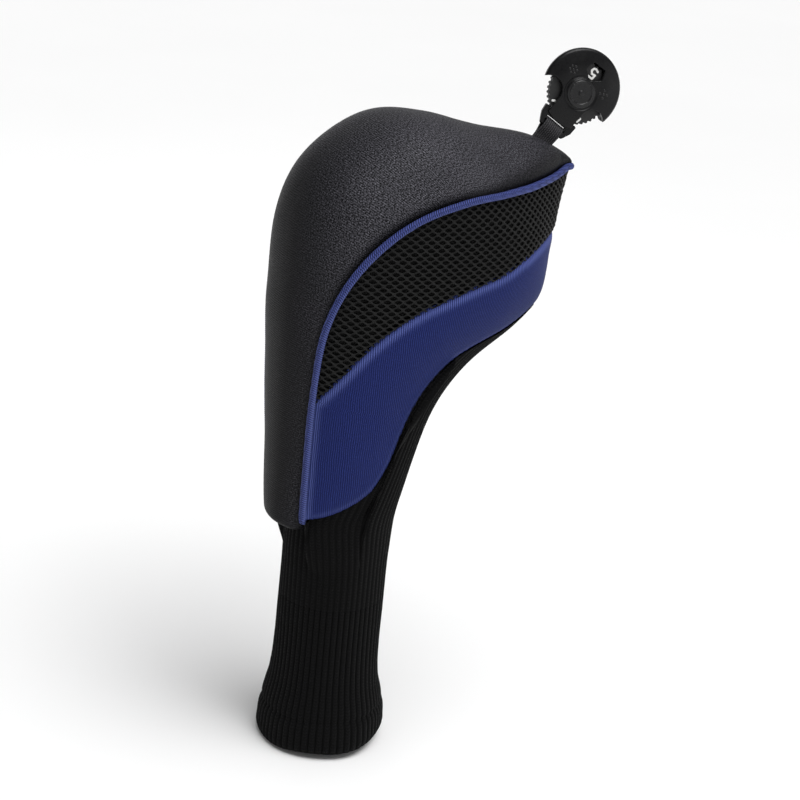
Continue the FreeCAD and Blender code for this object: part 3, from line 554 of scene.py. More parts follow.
class Value:
    """A node's output, which can be added to and multiplied like a number."""

    def __init__(self, shader, socket):
        self.shader = shader
        self.socket = socket

    def math(self, operation, *others):
        return self.shader.node("ShaderNodeMath", dict(enumerate((self, *others))),
                                operation=operation)

    def __add__(self, other):
        return self.math("ADD", other)

    def __mul__(self, other):
        return self.math("MULTIPLY", other)

    def ramp(self, low, high, start=0.0, end=1.0):
        """Carried from low..high to start..end and kept inside."""
        return self.shader.node("ShaderNodeMapRange", {
            "Value": self, "From Min": low, "From Max": high, "To Min": start, "To Max": end})

    def wave(self, pitch):
        """Sine from 0 to 1 of a coordinate in millimetres."""
        return (self * (2 * math.pi / pitch)).math("SINE") * 0.5 + 0.5


class Shader:
    """A material, or another owner of nodes, and short ways to add nodes to it."""

    def __init__(self, name, owner=None, surface="Principled BSDF"):
        self.owner = owner or bpy.data.materials.new(name)
        self.owner.use_nodes = True
        self.tree = self.owner.node_tree
        self.surface = self.tree.nodes[surface]

    def give(self, node, inputs):
        """Links outputs to a node's sockets, or sets them to numbers and colours."""
        for key, value in inputs.items():
            if isinstance(value, Value):
                self.tree.links.new(value.socket, node.inputs[key])
            else:
                colour = isinstance(value, tuple)
                node.inputs[key].default_value = (*value, 1.0) if colour else value

    def node(self, kind, inputs, output=0, **settings):
        made = self.tree.nodes.new(kind)
        for key, value in settings.items():
            setattr(made, key, value)
        self.give(made, inputs)
        return Value(self, made.outputs[output])

    def attribute(self, name, output="Fac"):
        return self.node("ShaderNodeAttribute", {}, output, attribute_name=name)

    def weave(self):
        """Fabric coordinates s and t, in millimetres, and both as a vector."""
        vector = self.attribute("weave", "Vector")
        s, t = (self.node("ShaderNodeSeparateXYZ", {0: vector}, axis) for axis in (0, 1))
        return s, t, vector

    def place(self, kind="Object"):
        return self.node("ShaderNodeTexCoord", {}, kind)

    def noise(self, vector, scale, detail=3.0, roughness=0.6):
        return self.node("ShaderNodeTexNoise", {"Vector": vector, "Scale": scale, "Detail": detail,
                                                "Roughness": roughness})

    def blend(self, share, first, second):
        return self.node("ShaderNodeMix", {0: share, 6: first, 7: second}, 2, data_type="RGBA")

    def finish(self, colour, rough, bump=None, specular=0.5, sheen=0.0, sheen_rough=0.5,
               tint=(1.0, 1.0, 1.0)):
        """Sets the surface; bump is its height, its depth in millimetres and its strength."""
        if bump:
            height, depth, strength = bump
            self.give(self.surface, {"Normal": self.node("ShaderNodeBump", {
                "Height": height, "Distance": depth * MM, "Strength": strength})})
        self.give(self.surface, {
            "Base Color": colour, "Roughness": rough, "Specular IOR Level": specular,
            "Sheen Weight": sheen, "Sheen Roughness": sheen_rough, "Sheen Tint": tint})
        return self.owner


def srgb(*levels):
    """Colour given as 0 to 255 on screen, as the shader takes it."""
    return tuple(level / 255 / 12.92 if level <= 0.04045 * 255
                 else ((level / 255 + 0.055) / 1.055) ** 2.4 for level in levels)


def crown_material():
    """Satin black jersey: fine ribs across, a grain of lighter filaments, brightened by painted light and
    dimmed by painted shade.
    """
    look = Shader("crown_jersey")
    s, t, vector = look.weave()
    ribs = (look.noise(vector, 0.12, 2.0) * 0.9 + s).wave(1.05)
    knit = ribs * (t.wave(0.72) * 0.35 + 0.65)
    grain = look.noise(vector, 1.35, 4.0, 0.7)
    # painted light and painted shade from the piece: the filaments show where light is painted and fade in
    # painted shade
    painted_light = look.attribute("edge") * 0.94 + 0.06
    light = grain.ramp(0.44, 0.61) * (knit * 0.6 + 0.4) * painted_light
    base = look.blend(light, srgb(6, 6, 8), srgb(114, 113, 121))
    cloud = look.noise(vector, 0.035, 2.0).ramp(0.35, 0.7, 0.0, 0.2)
    return look.finish(look.blend(cloud, base, srgb(16, 16, 18)), grain.ramp(0.3, 0.7, 0.56, 0.44),
                       (grain * 0.8 + knit * 0.7, 0.16, 0.8), specular=0.07)


def blue_material():
    """Dull blue warp knit with fine wales, lighter along the rolled edge: partly rubbed fuzz, partly
    painted highlight.
    """
    look = Shader("side_blue")
    s, t, vector = look.weave()
    wales = (look.noise(vector, 0.10, 2.0) * 1.2 + s).wave(0.98)
    grain = look.noise(vector, 1.6, 4.0, 0.7)
    light = wales * grain.ramp(0.35, 0.7, 0.35, 1.0)
    base = look.blend(light, srgb(3, 10, 58), srgb(38, 54, 124))
    # painted highlight and rubbed fuzz along the rolled edge, streaked by the wales
    highlight_and_wear = look.attribute("edge") * (wales * 0.9 + 0.1)
    height = t.wave(0.66) * 0.25 + wales * 0.7 + grain
    return look.finish(look.blend(highlight_and_wear, base, srgb(80, 92, 154)), 0.72, (height, 0.14, 0.75),
                       specular=0.14, sheen=0.04, tint=(0.6, 0.66, 1.0))


def piping_material():
    """Knit tape round a cord: slanting stitches and a painted highlight along one side."""
    look = Shader("piping_blue")
    s, t, vector = look.weave()
    stitch = (t * 0.5 + s).wave(1.1)
    grain = look.noise(vector, 2.2)
    base = look.blend(stitch.ramp(0.25, 0.8), srgb(5, 9, 46), srgb(70, 82, 148))
    base = look.blend(grain.ramp(0.35, 0.75, 0.0, 0.35), base, srgb(26, 34, 84))
    # painted highlight along one side of the tube
    return look.finish(look.blend(look.attribute("edge") * 0.4, base, srgb(92, 102, 158)), 0.66,
                       (grain * 0.5 + stitch, 0.12, 0.7),
                       specular=0.2, sheen=0.04, sheen_rough=0.45, tint=(0.7, 0.74, 1.0))


def thread_material():
    """Grey-black filament threads of the mesh, with painted shade deep in its holes, on the lower threads
    and below the piping.
    """
    look = Shader("side_mesh")
    s, t, vector = look.weave()
    ply = (t * 0.8 + s).wave(0.42)
    grain = look.noise(vector, 2.4)
    base = look.blend(ply * grain.ramp(0.3, 0.7, 0.4, 1.0), srgb(13, 13, 13), srgb(50, 50, 50))
    # painted shade: near black where the piece's attribute says shade falls
    return look.finish(look.blend(look.attribute("edge"), base, srgb(1, 1, 1)), 0.55,
                       (grain * 0.5 + ply, 0.07, 0.7), specular=0.12)


def spacer_material():
    """Dark back layer behind the mesh's holes, with faint upright filaments."""
    look = Shader("mesh_back")
    filaments = look.weave()[0].wave(0.8)
    return look.finish(look.blend(filaments, srgb(1, 1, 1), srgb(7, 7, 7)), 0.9,
                       (filaments, 0.1, 0.5), specular=0.02)


def knit_material():
    """Black rib knit: each wale is a column of V-shaped stitches."""
    look = Shader("rib_knit")
    s, t, _ = look.weave()
    column = (s.math("FRACT") + -0.5).math("ABSOLUTE")
    crest = (column * -2.2 + t).wave(1.55) * column.ramp(0.10, 0.42, 1.0, 0.0)
    height = crest * column.ramp(0.0, 0.10, 0.35, 1.0)
    fuzz = look.noise(look.place(), 1500.0, 4.0, 0.7)
    yarn = look.blend((height * 0.7 + 0.3) * fuzz, srgb(5, 5, 5), srgb(28, 28, 29))
    # painted shade: darker on the gusset under the head
    return look.finish(look.blend(look.attribute("edge"), yarn, srgb(5, 5, 6)), 0.85,
                       (fuzz * 0.6 + height, 0.28, 0.8), specular=0.05, sheen=0.02)


def fleece_material():
    """Brushed dark lining."""
    look = Shader("lining_fleece")
    pile = look.noise(look.place(), 700.0, 5.0, 0.75)
    clump = look.noise(look.place(), 130.0)
    return look.finish(look.blend(pile.ramp(0.35, 0.7), srgb(12, 12, 13), srgb(40, 40, 43)), 0.95,
                       (clump * 1.2 + pile, 0.5, 0.8), specular=0.05, sheen=0.1, sheen_rough=0.6)


def webbing_material():
    """Flat woven webbing: warp columns, each a little out of step with the next."""
    look = Shader("webbing")
    s, t, vector = look.weave()
    pitch = 1.02
    pick = ((s * (1 / pitch)).math("ROUND") * 0.55 + t).wave(1.1)
    weave = s.wave(pitch) * (pick * 0.6 + 0.4)
    grain = look.noise(vector, 2.5)
    return look.finish(look.blend(weave, srgb(4, 4, 5), srgb(66, 65, 69)),
                       grain.ramp(0.3, 0.7, 0.62, 0.5), (grain * 0.3 + weave, 0.26, 0.8),
                       specular=0.25, sheen=0.02, sheen_rough=0.4)


def stitch_material():
    """Plied sewing thread."""
    look = Shader("thread")
    s, t, _ = look.weave()
    ply = (t * 1.5 + s).wave(0.35)
    return look.finish(look.blend(ply, srgb(8, 8, 9), srgb(36, 36, 38)), 0.5, (ply, 0.05, 0.7),
                       specular=0.25, sheen=0.02, sheen_rough=0.4)


def plastic_material(name, dark, light, roughness, grain_depth=0.03, specular=0.5):
    """Satin moulded plastic: fine spark grain, slow cloudiness and a few soft scuffs."""
    look = Shader(name)
    place = look.place()
    scuff = look.noise(place, 420.0, 6.0, 0.75)
    base = look.blend(look.noise(place, 90.0).ramp(0.3, 0.7), dark, light)
    colour = look.blend(scuff.ramp(0.62, 0.8, 0.0, 0.3), base, tuple(1.6 * value for value in light))
    return look.finish(colour, scuff.ramp(0.35, 0.75, roughness - 0.05, roughness + 0.10),
                       (look.noise(place, 3200.0, 3.0, 0.65), grain_depth, 0.5), specular)


materials = {
    "crown": crown_material(),
    "blue": blue_material(),
    "piping": piping_material(),
    "mesh": thread_material(),
    "mesh_back": spacer_material(),
    "knit": knit_material(),
    "fleece": fleece_material(),
    "webbing": webbing_material(),
    "thread": stitch_material(),
    "tag": plastic_material("tag_plastic", srgb(6, 6, 7), srgb(11, 11, 13), 0.30, specular=0.22),
    "cap": plastic_material("rivet_plastic", srgb(9, 9, 10), srgb(15, 15, 17), 0.28, specular=0.36),
    "wheel": plastic_material("wheel_plastic", srgb(8, 8, 9), srgb(14, 14, 15), 0.5),
    "white": plastic_material("numeral_white", srgb(226, 226, 224), srgb(240, 240, 238), 0.5, 0.01),
}


def dress(piece, *names):
    piece.data.materials.clear()
    for name in names:
        piece.data.materials.append(materials[name])


# ---------------------------------------------------------------- camera, floor and lights

def add_pointed(name, data, direction, roll=0.0):
    """A camera or a light that looks along a direction."""
    made = add_object(name, data)
    made.rotation_mode = "QUATERNION"
    turn = Vector(direction).to_track_quat("-Z", "Y")
    made.rotation_quaternion = turn @ Matrix.Rotation(roll, 3, "Z").to_quaternion()
    return made


def make_camera():
    data = bpy.data.cameras.new("camera")
    data.lens = CAMERA_LENS
    data.sensor_width = 36.0
    level = math.cos(CAMERA_ELEVATION)
    back = Vector((math.sin(CAMERA_AZIMUTH) * level, -math.cos(CAMERA_AZIMUTH) * level,
                   math.sin(CAMERA_ELEVATION)))
    camera = add_pointed("camera", data, -back, CAMERA_ROLL)
    camera.location = CAMERA_TARGET + back * CAMERA_DISTANCE
    bpy.context.scene.camera = camera


def make_floor():
    """Wide pale floor, level with the hem."""
    reach, top = 40000, -0.6
    corners = [(-reach, -reach, top), (reach, -reach, top), (reach, reach, top), (-reach, reach, top)]
    floor = mesh_object("floor", corners, [[0, 1, 2, 3]])
    look = Shader("floor")
    cloud = look.noise(look.place(), 3.0, 2.0)
    floor.data.materials.append(look.finish(
        look.blend(cloud, (0.90, 0.90, 0.90), (0.93, 0.93, 0.93)), 0.9))


def make_world():
    """White surroundings, brightest near the horizon so that they meet the floor unseen."""
    world = bpy.data.worlds.new("world")
    sky = Shader("world", world, "Background")
    height = sky.node("ShaderNodeSeparateXYZ", {0: sky.place("Generated")}, 2)
    sky.give(sky.surface, {"Color": (1.0, 1.0, 1.0), "Strength": height.ramp(0.11, 0.19, 0.97, 0.33)})
    bpy.context.scene.world = world
    bpy.context.scene.view_settings.view_transform = "Standard"


def make_lights():
    """A sun as wide as a large soft box, and three round soft lights on the head's middle."""
    sun = bpy.data.lights.new("overhead", "SUN")
    sun.energy = 2.42
    sun.angle = math.radians(45.0)
    add_pointed("overhead", sun, (-0.15, 0.35, -1.0))
    for name, place, size, power in (("key", (0.15, -0.55, 0.95), 0.35, 1.3),
                                     ("fill", (0.9, -0.9, 0.5), 0.6, 0.6),
                                     ("back", (0.2, 0.9, 0.8), 0.7, 0.6)):
        data = bpy.data.lights.new(name, "AREA")
        data.shape = "DISK"
        data.size = size
        data.energy = power
        add_pointed(name, data, Vector((0.03, 0.0, 0.24)) - Vector(place)).location = place


make_camera()
make_floor()
make_world()
make_lights()


# ---------------------------------------------------------------- padded crown

def crown_grid(rows, columns):
    """Grid over the crown, from seam to seam and from the neck to the toe."""
    shares = np.linspace(-1, 1, columns)
    grid = np.zeros((rows, columns, 3))
    stations = stations_evenly(np.ones_like, CROWN_FIRST, LAST_STATION - 0.03, rows)
    for row, station in zip(grid, stations):
        places = places_between(station, piping_place(station), 1.0, 1 - np.abs(shares))
        row[:] = head_surface(station, places, 1)
    grid[..., 1] *= np.sign(shares)
    return grid


def crown_flat(grid):
    """Flat coordinates of the crown: along its crest and across from it."""
    middle = grid.shape[1] // 2
    along = run_length(grid[:, middle])
    across = run_length(grid.swapaxes(0, 1)).T
    across = across - across[:, middle:middle + 1]
    return np.stack([np.broadcast_to(along[:, None], across.shape), across], axis=-1)


def lip_rows(grid, normals, count=18):
    """Rows that carry the crown's lower edge round and in under itself, towards the neck."""
    down = unit(grid[0] - grid[3])
    turn = np.linspace(math.pi * 0.92, 0.12, count)[:, None, None]
    rows = grid[0] + LIP_RADIUS * (down * np.sin(turn) - normals[0] * (1 - np.cos(turn)))
    # it lies against the neck, not inside it
    reach = np.hypot(rows[..., 0], rows[..., 1])
    rows[..., :2] *= np.maximum(1, (NECK_RADIUS + 0.9) / np.maximum(reach, 1e-6))[..., None]
    return rows


def crown_fullness(x, z):
    """How much fuller than its form the crown is stuffed: at the toe, the top and the back."""
    return (3.7 * smooth_step(x, 52.0, 84.0) - 0.6 * np.exp(-((x - 45.0) / 9.0) ** 2)
            + 1.4 * np.exp(-((x - 13.0) / 15.0) ** 2) * smooth_step(z, 270.0, 300.0)
            + 1.7 * np.exp(-((x + 30.0) ** 2 + (z - 278.0) ** 2) / 26.0 ** 2)
            + 0.5 * smooth_step(z, 235.0, 215.0))


def build_crown():
    rows, columns = 372, 235
    coarse = crown_grid(108, 49)
    flat = crown_flat(coarse)
    move = swell(coarse, normals_out(coarse), flat, CROWN_CAP)
    grid = crown_grid(rows, columns)
    normals = normals_out(grid)
    distance = seam_distance(grid, np.concatenate([grid[:, 0], grid[::-1, -1]]), 0.6)
    flat = resize_grid(flat, rows, columns)
    near_toe = smooth_step(grid[..., 0], 35.0, 85.0)
    widest_roll = CROWN_ROLL + 2.5 * near_toe
    edge = rolled(distance, np.clip(0.75 * np.abs(flat[:, -1:, 1]), 1.0, widest_roll))
    full = crown_fullness(grid[..., 0], grid[..., 2]) + 0.35 * waves(grid, 46.0, 5)
    lift = CROWN_BASE + full * edge - (CROWN_SINK + 1.2 * near_toe) * (1 - edge)
    move = blur_grid(resize_grid(blur_grid(move, 3), rows, columns), 30)
    # the padding stays full down to the lip
    along = flat[:, columns // 2, 0]
    level = int(np.searchsorted(along - along[0], 22.0))
    share = smooth_step(np.linspace(1, 0, level), 0, 1)[:, None, None]
    move[:level] = move[:level] * (1 - share) + move[level] * share
    lift[:2 * level] += 1.6 * np.linspace(1, 0, 2 * level)[:, None] ** 2 * edge[:2 * level]
    # tight puckers where the crown is gathered into the piping
    lift += 0.10 * np.sin(flat[..., 0] * 2 * math.pi / 3.1) * np.exp(-(distance / 3.0) ** 2)
    surface = grid + normals * lift[..., None] + move
    lip = lip_rows(surface, grid_normals(surface, normals))
    surface = np.concatenate([lip, surface])
    lip_flat = np.repeat(flat[:1], len(lip), axis=0)
    lip_flat[..., 0] -= np.linspace(LIP_RADIUS * 2.6, 0.5, len(lip))[:, None]
    weave = np.concatenate([lip_flat, flat])
    # painted shade: darker in a band beside the piping, wider and darker towards the toe where the crown
    # falls into the seam, and the toe end darkened overall
    painted_shade = (0.85 + 0.12 * near_toe) * np.exp(-(distance / (4.4 + 7.0 * near_toe)) ** 3)
    painted_shade = 1 - (1 - painted_shade) * (1 - 0.22 * near_toe)
    painted_shade = np.concatenate([painted_shade[:1].repeat(len(lip), 0), painted_shade])
    # painted light: the crown's lighter filaments are brightened where it faces up and sideways, towards
    # the lamps, and stay dim on faces turned away
    facing = normals_out(surface)
    painted_light = 0.62 * facing[..., 2] + np.abs(facing[..., 1]) + 0.25 * facing[..., 0]
    piece = woven_piece("crown_cover", surface, weave[..., 0], weave[..., 1],
                        np.clip(painted_light, 0, 1) * (1 - painted_shade))
    faces_out(piece, INSIDE)
    dress(piece, "crown")
    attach(piece, "head")
    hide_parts("crown_panel", "crown_foam")


# ---------------------------------------------------------------- piping

def piping_line():
    """Middle line of the piping, up the right side, round the toe and down the left side,
    and the direction outwards along it."""
    stations = np.linspace(0.80, 11.72, 700)
    place = piping_place(stations)

    def slope(by_station, by_place):
        return (head_surface(stations + by_station, place + by_place, RIGHT)
                - head_surface(stations - by_station, place - by_place, RIGHT))
    normal = unit(np.cross(slope(0.01, 0), slope(0, 0.01)))
    normal *= np.where(normal[:, 1:2] > 0, -1, 1)
    rise = PIPING_RISE - 1.5 * smooth_step(stations, 4.4, 3.0)
    right = head_surface(stations, place, RIGHT) + normal * rise[:, None]
    toe = head_surface(LAST_STATION, 1.0, RIGHT) + [(-0.7, -2.4, -0.9), (0.9, 0, -0.6), (-0.7, 2.4, -0.9)]
    toe_outward = [(0.9, -0.4, 0.3), (1, 0, 0.3), (0.9, 0.4, 0.3)]
    whole = np.concatenate([right, toe, right[::-1] * MIRROR])
    outward = np.concatenate([normal, toe_outward, normal[::-1] * MIRROR])
    line = smooth_line(dense_line(whole, 0.5), 40)
    tree = point_tree(whole)
    outward = np.array([outward[tree.find(point)[1]] for point in line])
    return line, smooth_line(outward, 20)


def build_piping():
    line, outward = piping_line()
    # each end turns in under the crown
    tuck = line[0] - outward[0] * [[3.2], [1.6], [0.5]] - [[0, 0, 2.4], [0, 0, 1.9], [0, 0, 1.0]]
    line = np.concatenate([tuck, line, (tuck * MIRROR)[::-1]])
    outward = np.concatenate([outward[:1].repeat(3, 0), outward, outward[-1:].repeat(3, 0)])
    length = run_length(line)
    along = np.arange(0, length[-1], 0.24)
    centre = line_at(line, length, along)
    tangent = unit(np.gradient(centre, axis=0))
    up = line_at(outward, length, along)
    up = unit(up - tangent * (up * tangent).sum(1, keepdims=True))
    across = np.cross(tangent, up)
    angle = turns(20)
    stitch = np.cos(2 * math.pi * (along[:, None] / STITCH_PITCH + 0.14 * np.sin(angle)))
    slow = 0.05 * np.sin(along / 17.0) + 0.04 * np.sin(along / 7.3 + 1.0)
    radius = PIPING_RADIUS * (1 + 0.04 * stitch) + slow[:, None]
    tube = (centre[:, None] + up[:, None] * (radius * np.cos(angle))[..., None]
            + across[:, None] * (radius * np.sin(angle))[..., None])
    caps = centre[[0, -1], None].repeat(len(angle), 1)
    points = np.concatenate([caps[:1], tube, caps[1:]])
    along = np.pad(along, 1, mode="edge")
    # painted highlight: a paler stripe along one side of the tube, where light from above would catch it
    fold = np.clip(np.cos(angle - 1.15), 0, 1) ** 6
    piece = woven_piece("piping", points, along[:, None], angle * PIPING_RADIUS,
                        np.tile(fold, len(along)), closed=True)
    faces_out(piece, INSIDE)
    dress(piece, "piping")
    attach(piece, "head")
    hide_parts("piping_cover", "piping_cord")


# ---------------------------------------------------------------- mesh side panels

def mesh_grid(rows, columns, side):
    """Grid over one mesh panel, run on a little under its neighbours."""
    stations = stations_evenly(lambda u: 0.5 * (mesh_place(u) + piping_place(u)),
                               MESH_START - 0.12, LAST_STATION - 0.02, rows)
    return panel_grid(stations, columns, lambda u: mesh_place(u) - 0.016, piping_place, side, 0.004)


def lattice_cell():
    """One cell of the mesh: its rhombus, and the hole's rim on the same rays."""
    half = HOLE_PITCH / 2
    corners = np.array([(half, 0.0), (0.0, ROW_PITCH), (-half, 0.0), (0.0, -ROW_PITCH)])
    rim = np.array([a + (b - a) * share for a, b in zip(corners, np.roll(corners, -1, axis=0))
                    for share in (0, 0.25, 0.5, 0.75)])
    angle = np.arctan2(rim[:, 1] / HOLE_HALF_WIDTH, rim[:, 0] / HOLE_HALF_LENGTH)
    lens = (np.abs(np.cos(angle)) ** 1.6 + np.abs(np.sin(angle)) ** 1.6) ** (-1 / 1.6)
    hole = np.stack([HOLE_HALF_LENGTH * lens * np.cos(angle),
                     HOLE_HALF_WIDTH * lens * np.sin(angle)], axis=1)
    return rim, hole


def lattice_centres(flat, chart, turn):
    """Middles of the cells that touch a flat panel, in staggered rows."""
    low, high = flat.min((0, 1)) - 5, flat.max((0, 1)) + 5
    reach = np.linalg.norm(high - low) / 2
    centres = []
    for row, y in enumerate(np.arange(-reach, reach, ROW_PITCH)):
        for x in np.arange(-reach + (row % 2) * HOLE_PITCH / 2, reach, HOLE_PITCH):
            place = np.array([x, y]) @ turn + (low + high) / 2
            if chart.tree.find_nearest((*place, 0))[3] < 0.9:
                centres.append(place)
    return np.array(centres)


def mesh_hollow(grid):
    """How deep the mesh lies below the head's form: pulled in between its seams, less at the toe."""
    distance = seam_distance(grid, border_of(grid))
    blue_side = seam_distance(grid, grid[:, 0])
    toe = np.clip((grid[..., 0] - 70) / 35, 0, 1)
    return (MESH_SINK * (1 - 0.6 * toe) + 0.3 * rolled(distance, 18.0) + 0.3 * toe * rolled(distance, 9.0)
            + 2.2 * (1 - rolled(blue_side, 4.0)) - 0.25 * waves(grid, 30.0, 11))


def build_mesh_panel(side):
    coarse = mesh_grid(90, 42, side)
    normals = normals_out(coarse)
    flat = flatten(coarse)
    chart = Chart(flat)
    base = keep_to_side(coarse - normals * mesh_hollow(coarse)[..., None], side)
    rim, hole = lattice_cell()
    # threads of one direction lie over the others
    over = 0.5 + 0.5 * np.cos(2 * (np.arctan2(rim[:, 1], rim[:, 0]) - math.pi / 4))
    # rings from the hole's wall to the cell's edge: outline, height, least painted shade (darkest deep in
    # the hole)
    rings = [(hole * 0.96, -0.80, 1.0), (hole * 0.98, -0.35, 0.7), (hole, -0.02, 0.3),
             (hole * 0.6 + rim * 0.4, 0.20, 0.0), (rim, 0.24, 0.0)]
    cosine, sine = math.cos(LATTICE_TURN), math.sin(LATTICE_TURN)
    turn = np.array([[cosine, sine], [-sine, cosine]])
    centres = lattice_centres(flat, chart, turn)
    cell = np.concatenate([ring @ turn for ring, _, _ in rings])
    heights = np.concatenate([height + 0.16 * over * (height > 0) for _, height, _ in rings])
    # painted shade: the threads that lie under the others are darkened
    painted_shades = np.concatenate([np.maximum(painted_shade, 0.55 * (1 - over)) for _, _, painted_shade in rings])
    places = (centres[:, None] + cell).reshape(-1, 2)
    corners, weights = chart.locate(places)
    threads = values_at(base, corners, weights)
    # painted shade in a band below the piping
    beside = seam_distance(threads, coarse[:, -1])
    painted_shades = np.maximum(np.tile(painted_shades, len(centres)), 0.8 * np.exp(-(beside / 3.4) ** 2))
    threads += values_at(normals, corners, weights) * np.tile(heights, len(centres))[:, None]
    faces = repeated(grid_faces(len(rings), len(rim), closed=True), len(cell), len(centres))
    back = keep_to_side(base - normals * MESH_BACK, side)
    back_faces = grid_faces(*back.shape[:2], first=len(threads))
    points = np.concatenate([threads, back.reshape(-1, 3)])
    weave = np.concatenate([places, flat.reshape(-1, 2)])
    index = np.repeat([0, 1], [len(faces), len(back_faces)])
    faces = np.concatenate([faces, back_faces])
    # leave out the faces that the panel's edge has squeezed to nothing
    a, b, c, d = (points[faces[:, k]] for k in range(4))
    keep = np.linalg.norm(np.cross(c - a, d - b), axis=1) > 1e-5
    piece = mesh_object(f"mesh_{SIDE_NAMES[side]}", points, faces[keep], {
        "weave": weave_vectors(weave[:, 0], weave[:, 1]),
        "edge": np.pad(painted_shades, (0, back[..., 0].size))}, index[keep])
    faces_out(piece, INSIDE)
    dress(piece, "mesh", "mesh_back")
    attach(piece, "head")
    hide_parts(f"mesh_panel_{SIDE_NAMES[side]}")


# ---------------------------------------------------------------- blue lower side panels

def blue_grid(rows, columns, side):
    """Grid over one blue panel, from the knit gusset up to the mesh or the piping."""
    def top(u):
        return np.where(u < MESH_START, piping_place(u), mesh_place(u))

    def bottom(u):
        return np.where(u < SOLE_END, sole_place(u), 0.0)
    stations = stations_evenly(lambda u: 0.35 * top(u) + 0.65 * bottom(u), BLUE_START,
                               LAST_STATION - 0.02, rows)
    return panel_grid(stations, columns, bottom, top, side, 0.003)


def build_blue_panel(side):
    rows, columns = 380, 150
    coarse = blue_grid(110, 46, side)
    flat = flatten(coarse)
    move = swell(coarse, normals_out(coarse), flat, BLUE_CAP)
    grid = blue_grid(rows, columns, side)
    normals = normals_out(grid)
    distance, from_top, from_sole = (seam_distance(grid, line, 0.6)
                                     for line in (border_of(grid), grid[:, -1], grid[:, 0]))
    roll = rolled(distance, BLUE_ROLL)
    move = blur_grid(resize_grid(blur_grid(move, 2), rows, columns), 24)
    sink = BLUE_SINK * (1 - 0.6 * np.clip(1 - from_sole / (BLUE_ROLL + 2), 0, 1))
    lift = BLUE_BASE - sink * (1 - roll) + 0.45 * roll * waves(grid, 40.0, 23)
    flat = resize_grid(flat, rows, columns)
    pucker = np.sin(flat[..., 0] * 2 * math.pi / 2.6 + 0.8 * np.sin(flat[..., 0] / 5.0))
    lift += 0.07 * pucker * np.exp(-(distance / 2.6) ** 2)
    surface = keep_to_side(grid + normals * lift[..., None] + move, side)
    # lighter along the top seam and the rolled edges: partly rubbed fuzz, partly painted highlight where
    # the roll faces the lamps
    highlight_and_wear = np.maximum(np.exp(-((from_top - 2.4) / 1.9) ** 2),
                      0.35 * np.exp(-((distance - 1.8) / 1.3) ** 2))
    piece = woven_piece(f"lower_side_{SIDE_NAMES[side]}", surface, flat[..., 0], flat[..., 1], highlight_and_wear)
    faces_out(piece, INSIDE)
    dress(piece, "blue")
    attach(piece, "head")
    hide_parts(f"lower_side_panel_{SIDE_NAMES[side]}", f"side_foam_{SIDE_NAMES[side]}")


# ---------------------------------------------------------------- rib knit

def rib_height(s):
    """Rounded wales with narrow grooves between them, from the column coordinate."""
    share = np.abs(s - np.floor(s) - 0.5) * 2
    return RIB_HEIGHT * (np.sqrt(np.maximum(1 - share ** 2.4, 0)) - 0.62)


def neck_point(angle, z):
    """Point of the neck; angle 0 is the front. The hem is a little oval and uneven."""
    droop = np.clip(1 - z / 30, 0, 1)
    radius = (neck_radius(z) + 0.45 * np.sin(3 * angle + 0.6 + z / 40) * (0.3 + droop)
              + 0.28 * np.sin(5 * angle + 2.0 - z / 23))
    rise = droop * (0.5 * np.sin(2 * angle + 0.8) + 0.35 * np.sin(5 * angle)
                    + 2.6 * (1 + np.cos(angle + 0.47)))
    return np.stack([radius * np.cos(angle), radius * np.sin(angle),
                     z + np.maximum(rise, -z)], axis=-1)


def build_lower_knit():
    """The neck below the split, its hem folded up inside."""
    angle = turns(RIBS * 9)
    out = np.stack([np.cos(angle), np.sin(angle), 0 * angle], axis=-1)
    s = angle / (2 * math.pi) * RIBS
    ribs = rib_height(s)
    rings = []
    for z in np.linspace(SPLIT_Z, 0.0, 96):
        fold = 0.5 * math.exp(-((z - HEM_TOP - 1.5) / 1.3) ** 2)
        near_edge = 1 - 0.75 * math.exp(-(z / 1.6) ** 2)
        rings.append(neck_point(angle, z) + out * (ribs * near_edge - fold)[:, None])
    # round under the hem, up inside, and out again at the top of the fold
    for depth, z in NECK_INSIDE:
        share = 0.35 if z < HEM_TOP + 1 else 0.5
        ring = neck_point(angle, max(z, 0.0)) - out * (depth + 0.45 + share * ribs)[:, None]
        ring[:, 2] += min(z, 0.0)
        rings.append(ring)
    rings = np.array(rings)
    t = -run_length(rings).mean(1)
    piece = woven_piece("knit_neck_lower", rings, s, t[:, None], closed=True, ring=True)
    faces_out(piece)
    dress(piece, "knit")
    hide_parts("sock_lower_bend", "sock_lower", "hem_fold")
    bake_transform(piece)


def sole_lengths():
    """Stations along the gusset, the arc length from its middle line to its seam, kept
    narrowing, and how much wider than that the gusset is."""
    stations = np.linspace(BLUE_START, SOLE_END, 60)
    lengths = np.array([np.interp(sole_place(station), *dense_places(station))
                        for station in stations])
    narrowing = np.minimum.accumulate(lengths - 1e-3 * np.arange(len(lengths)))
    return stations, narrowing, lengths / np.maximum(narrowing, 0.2)


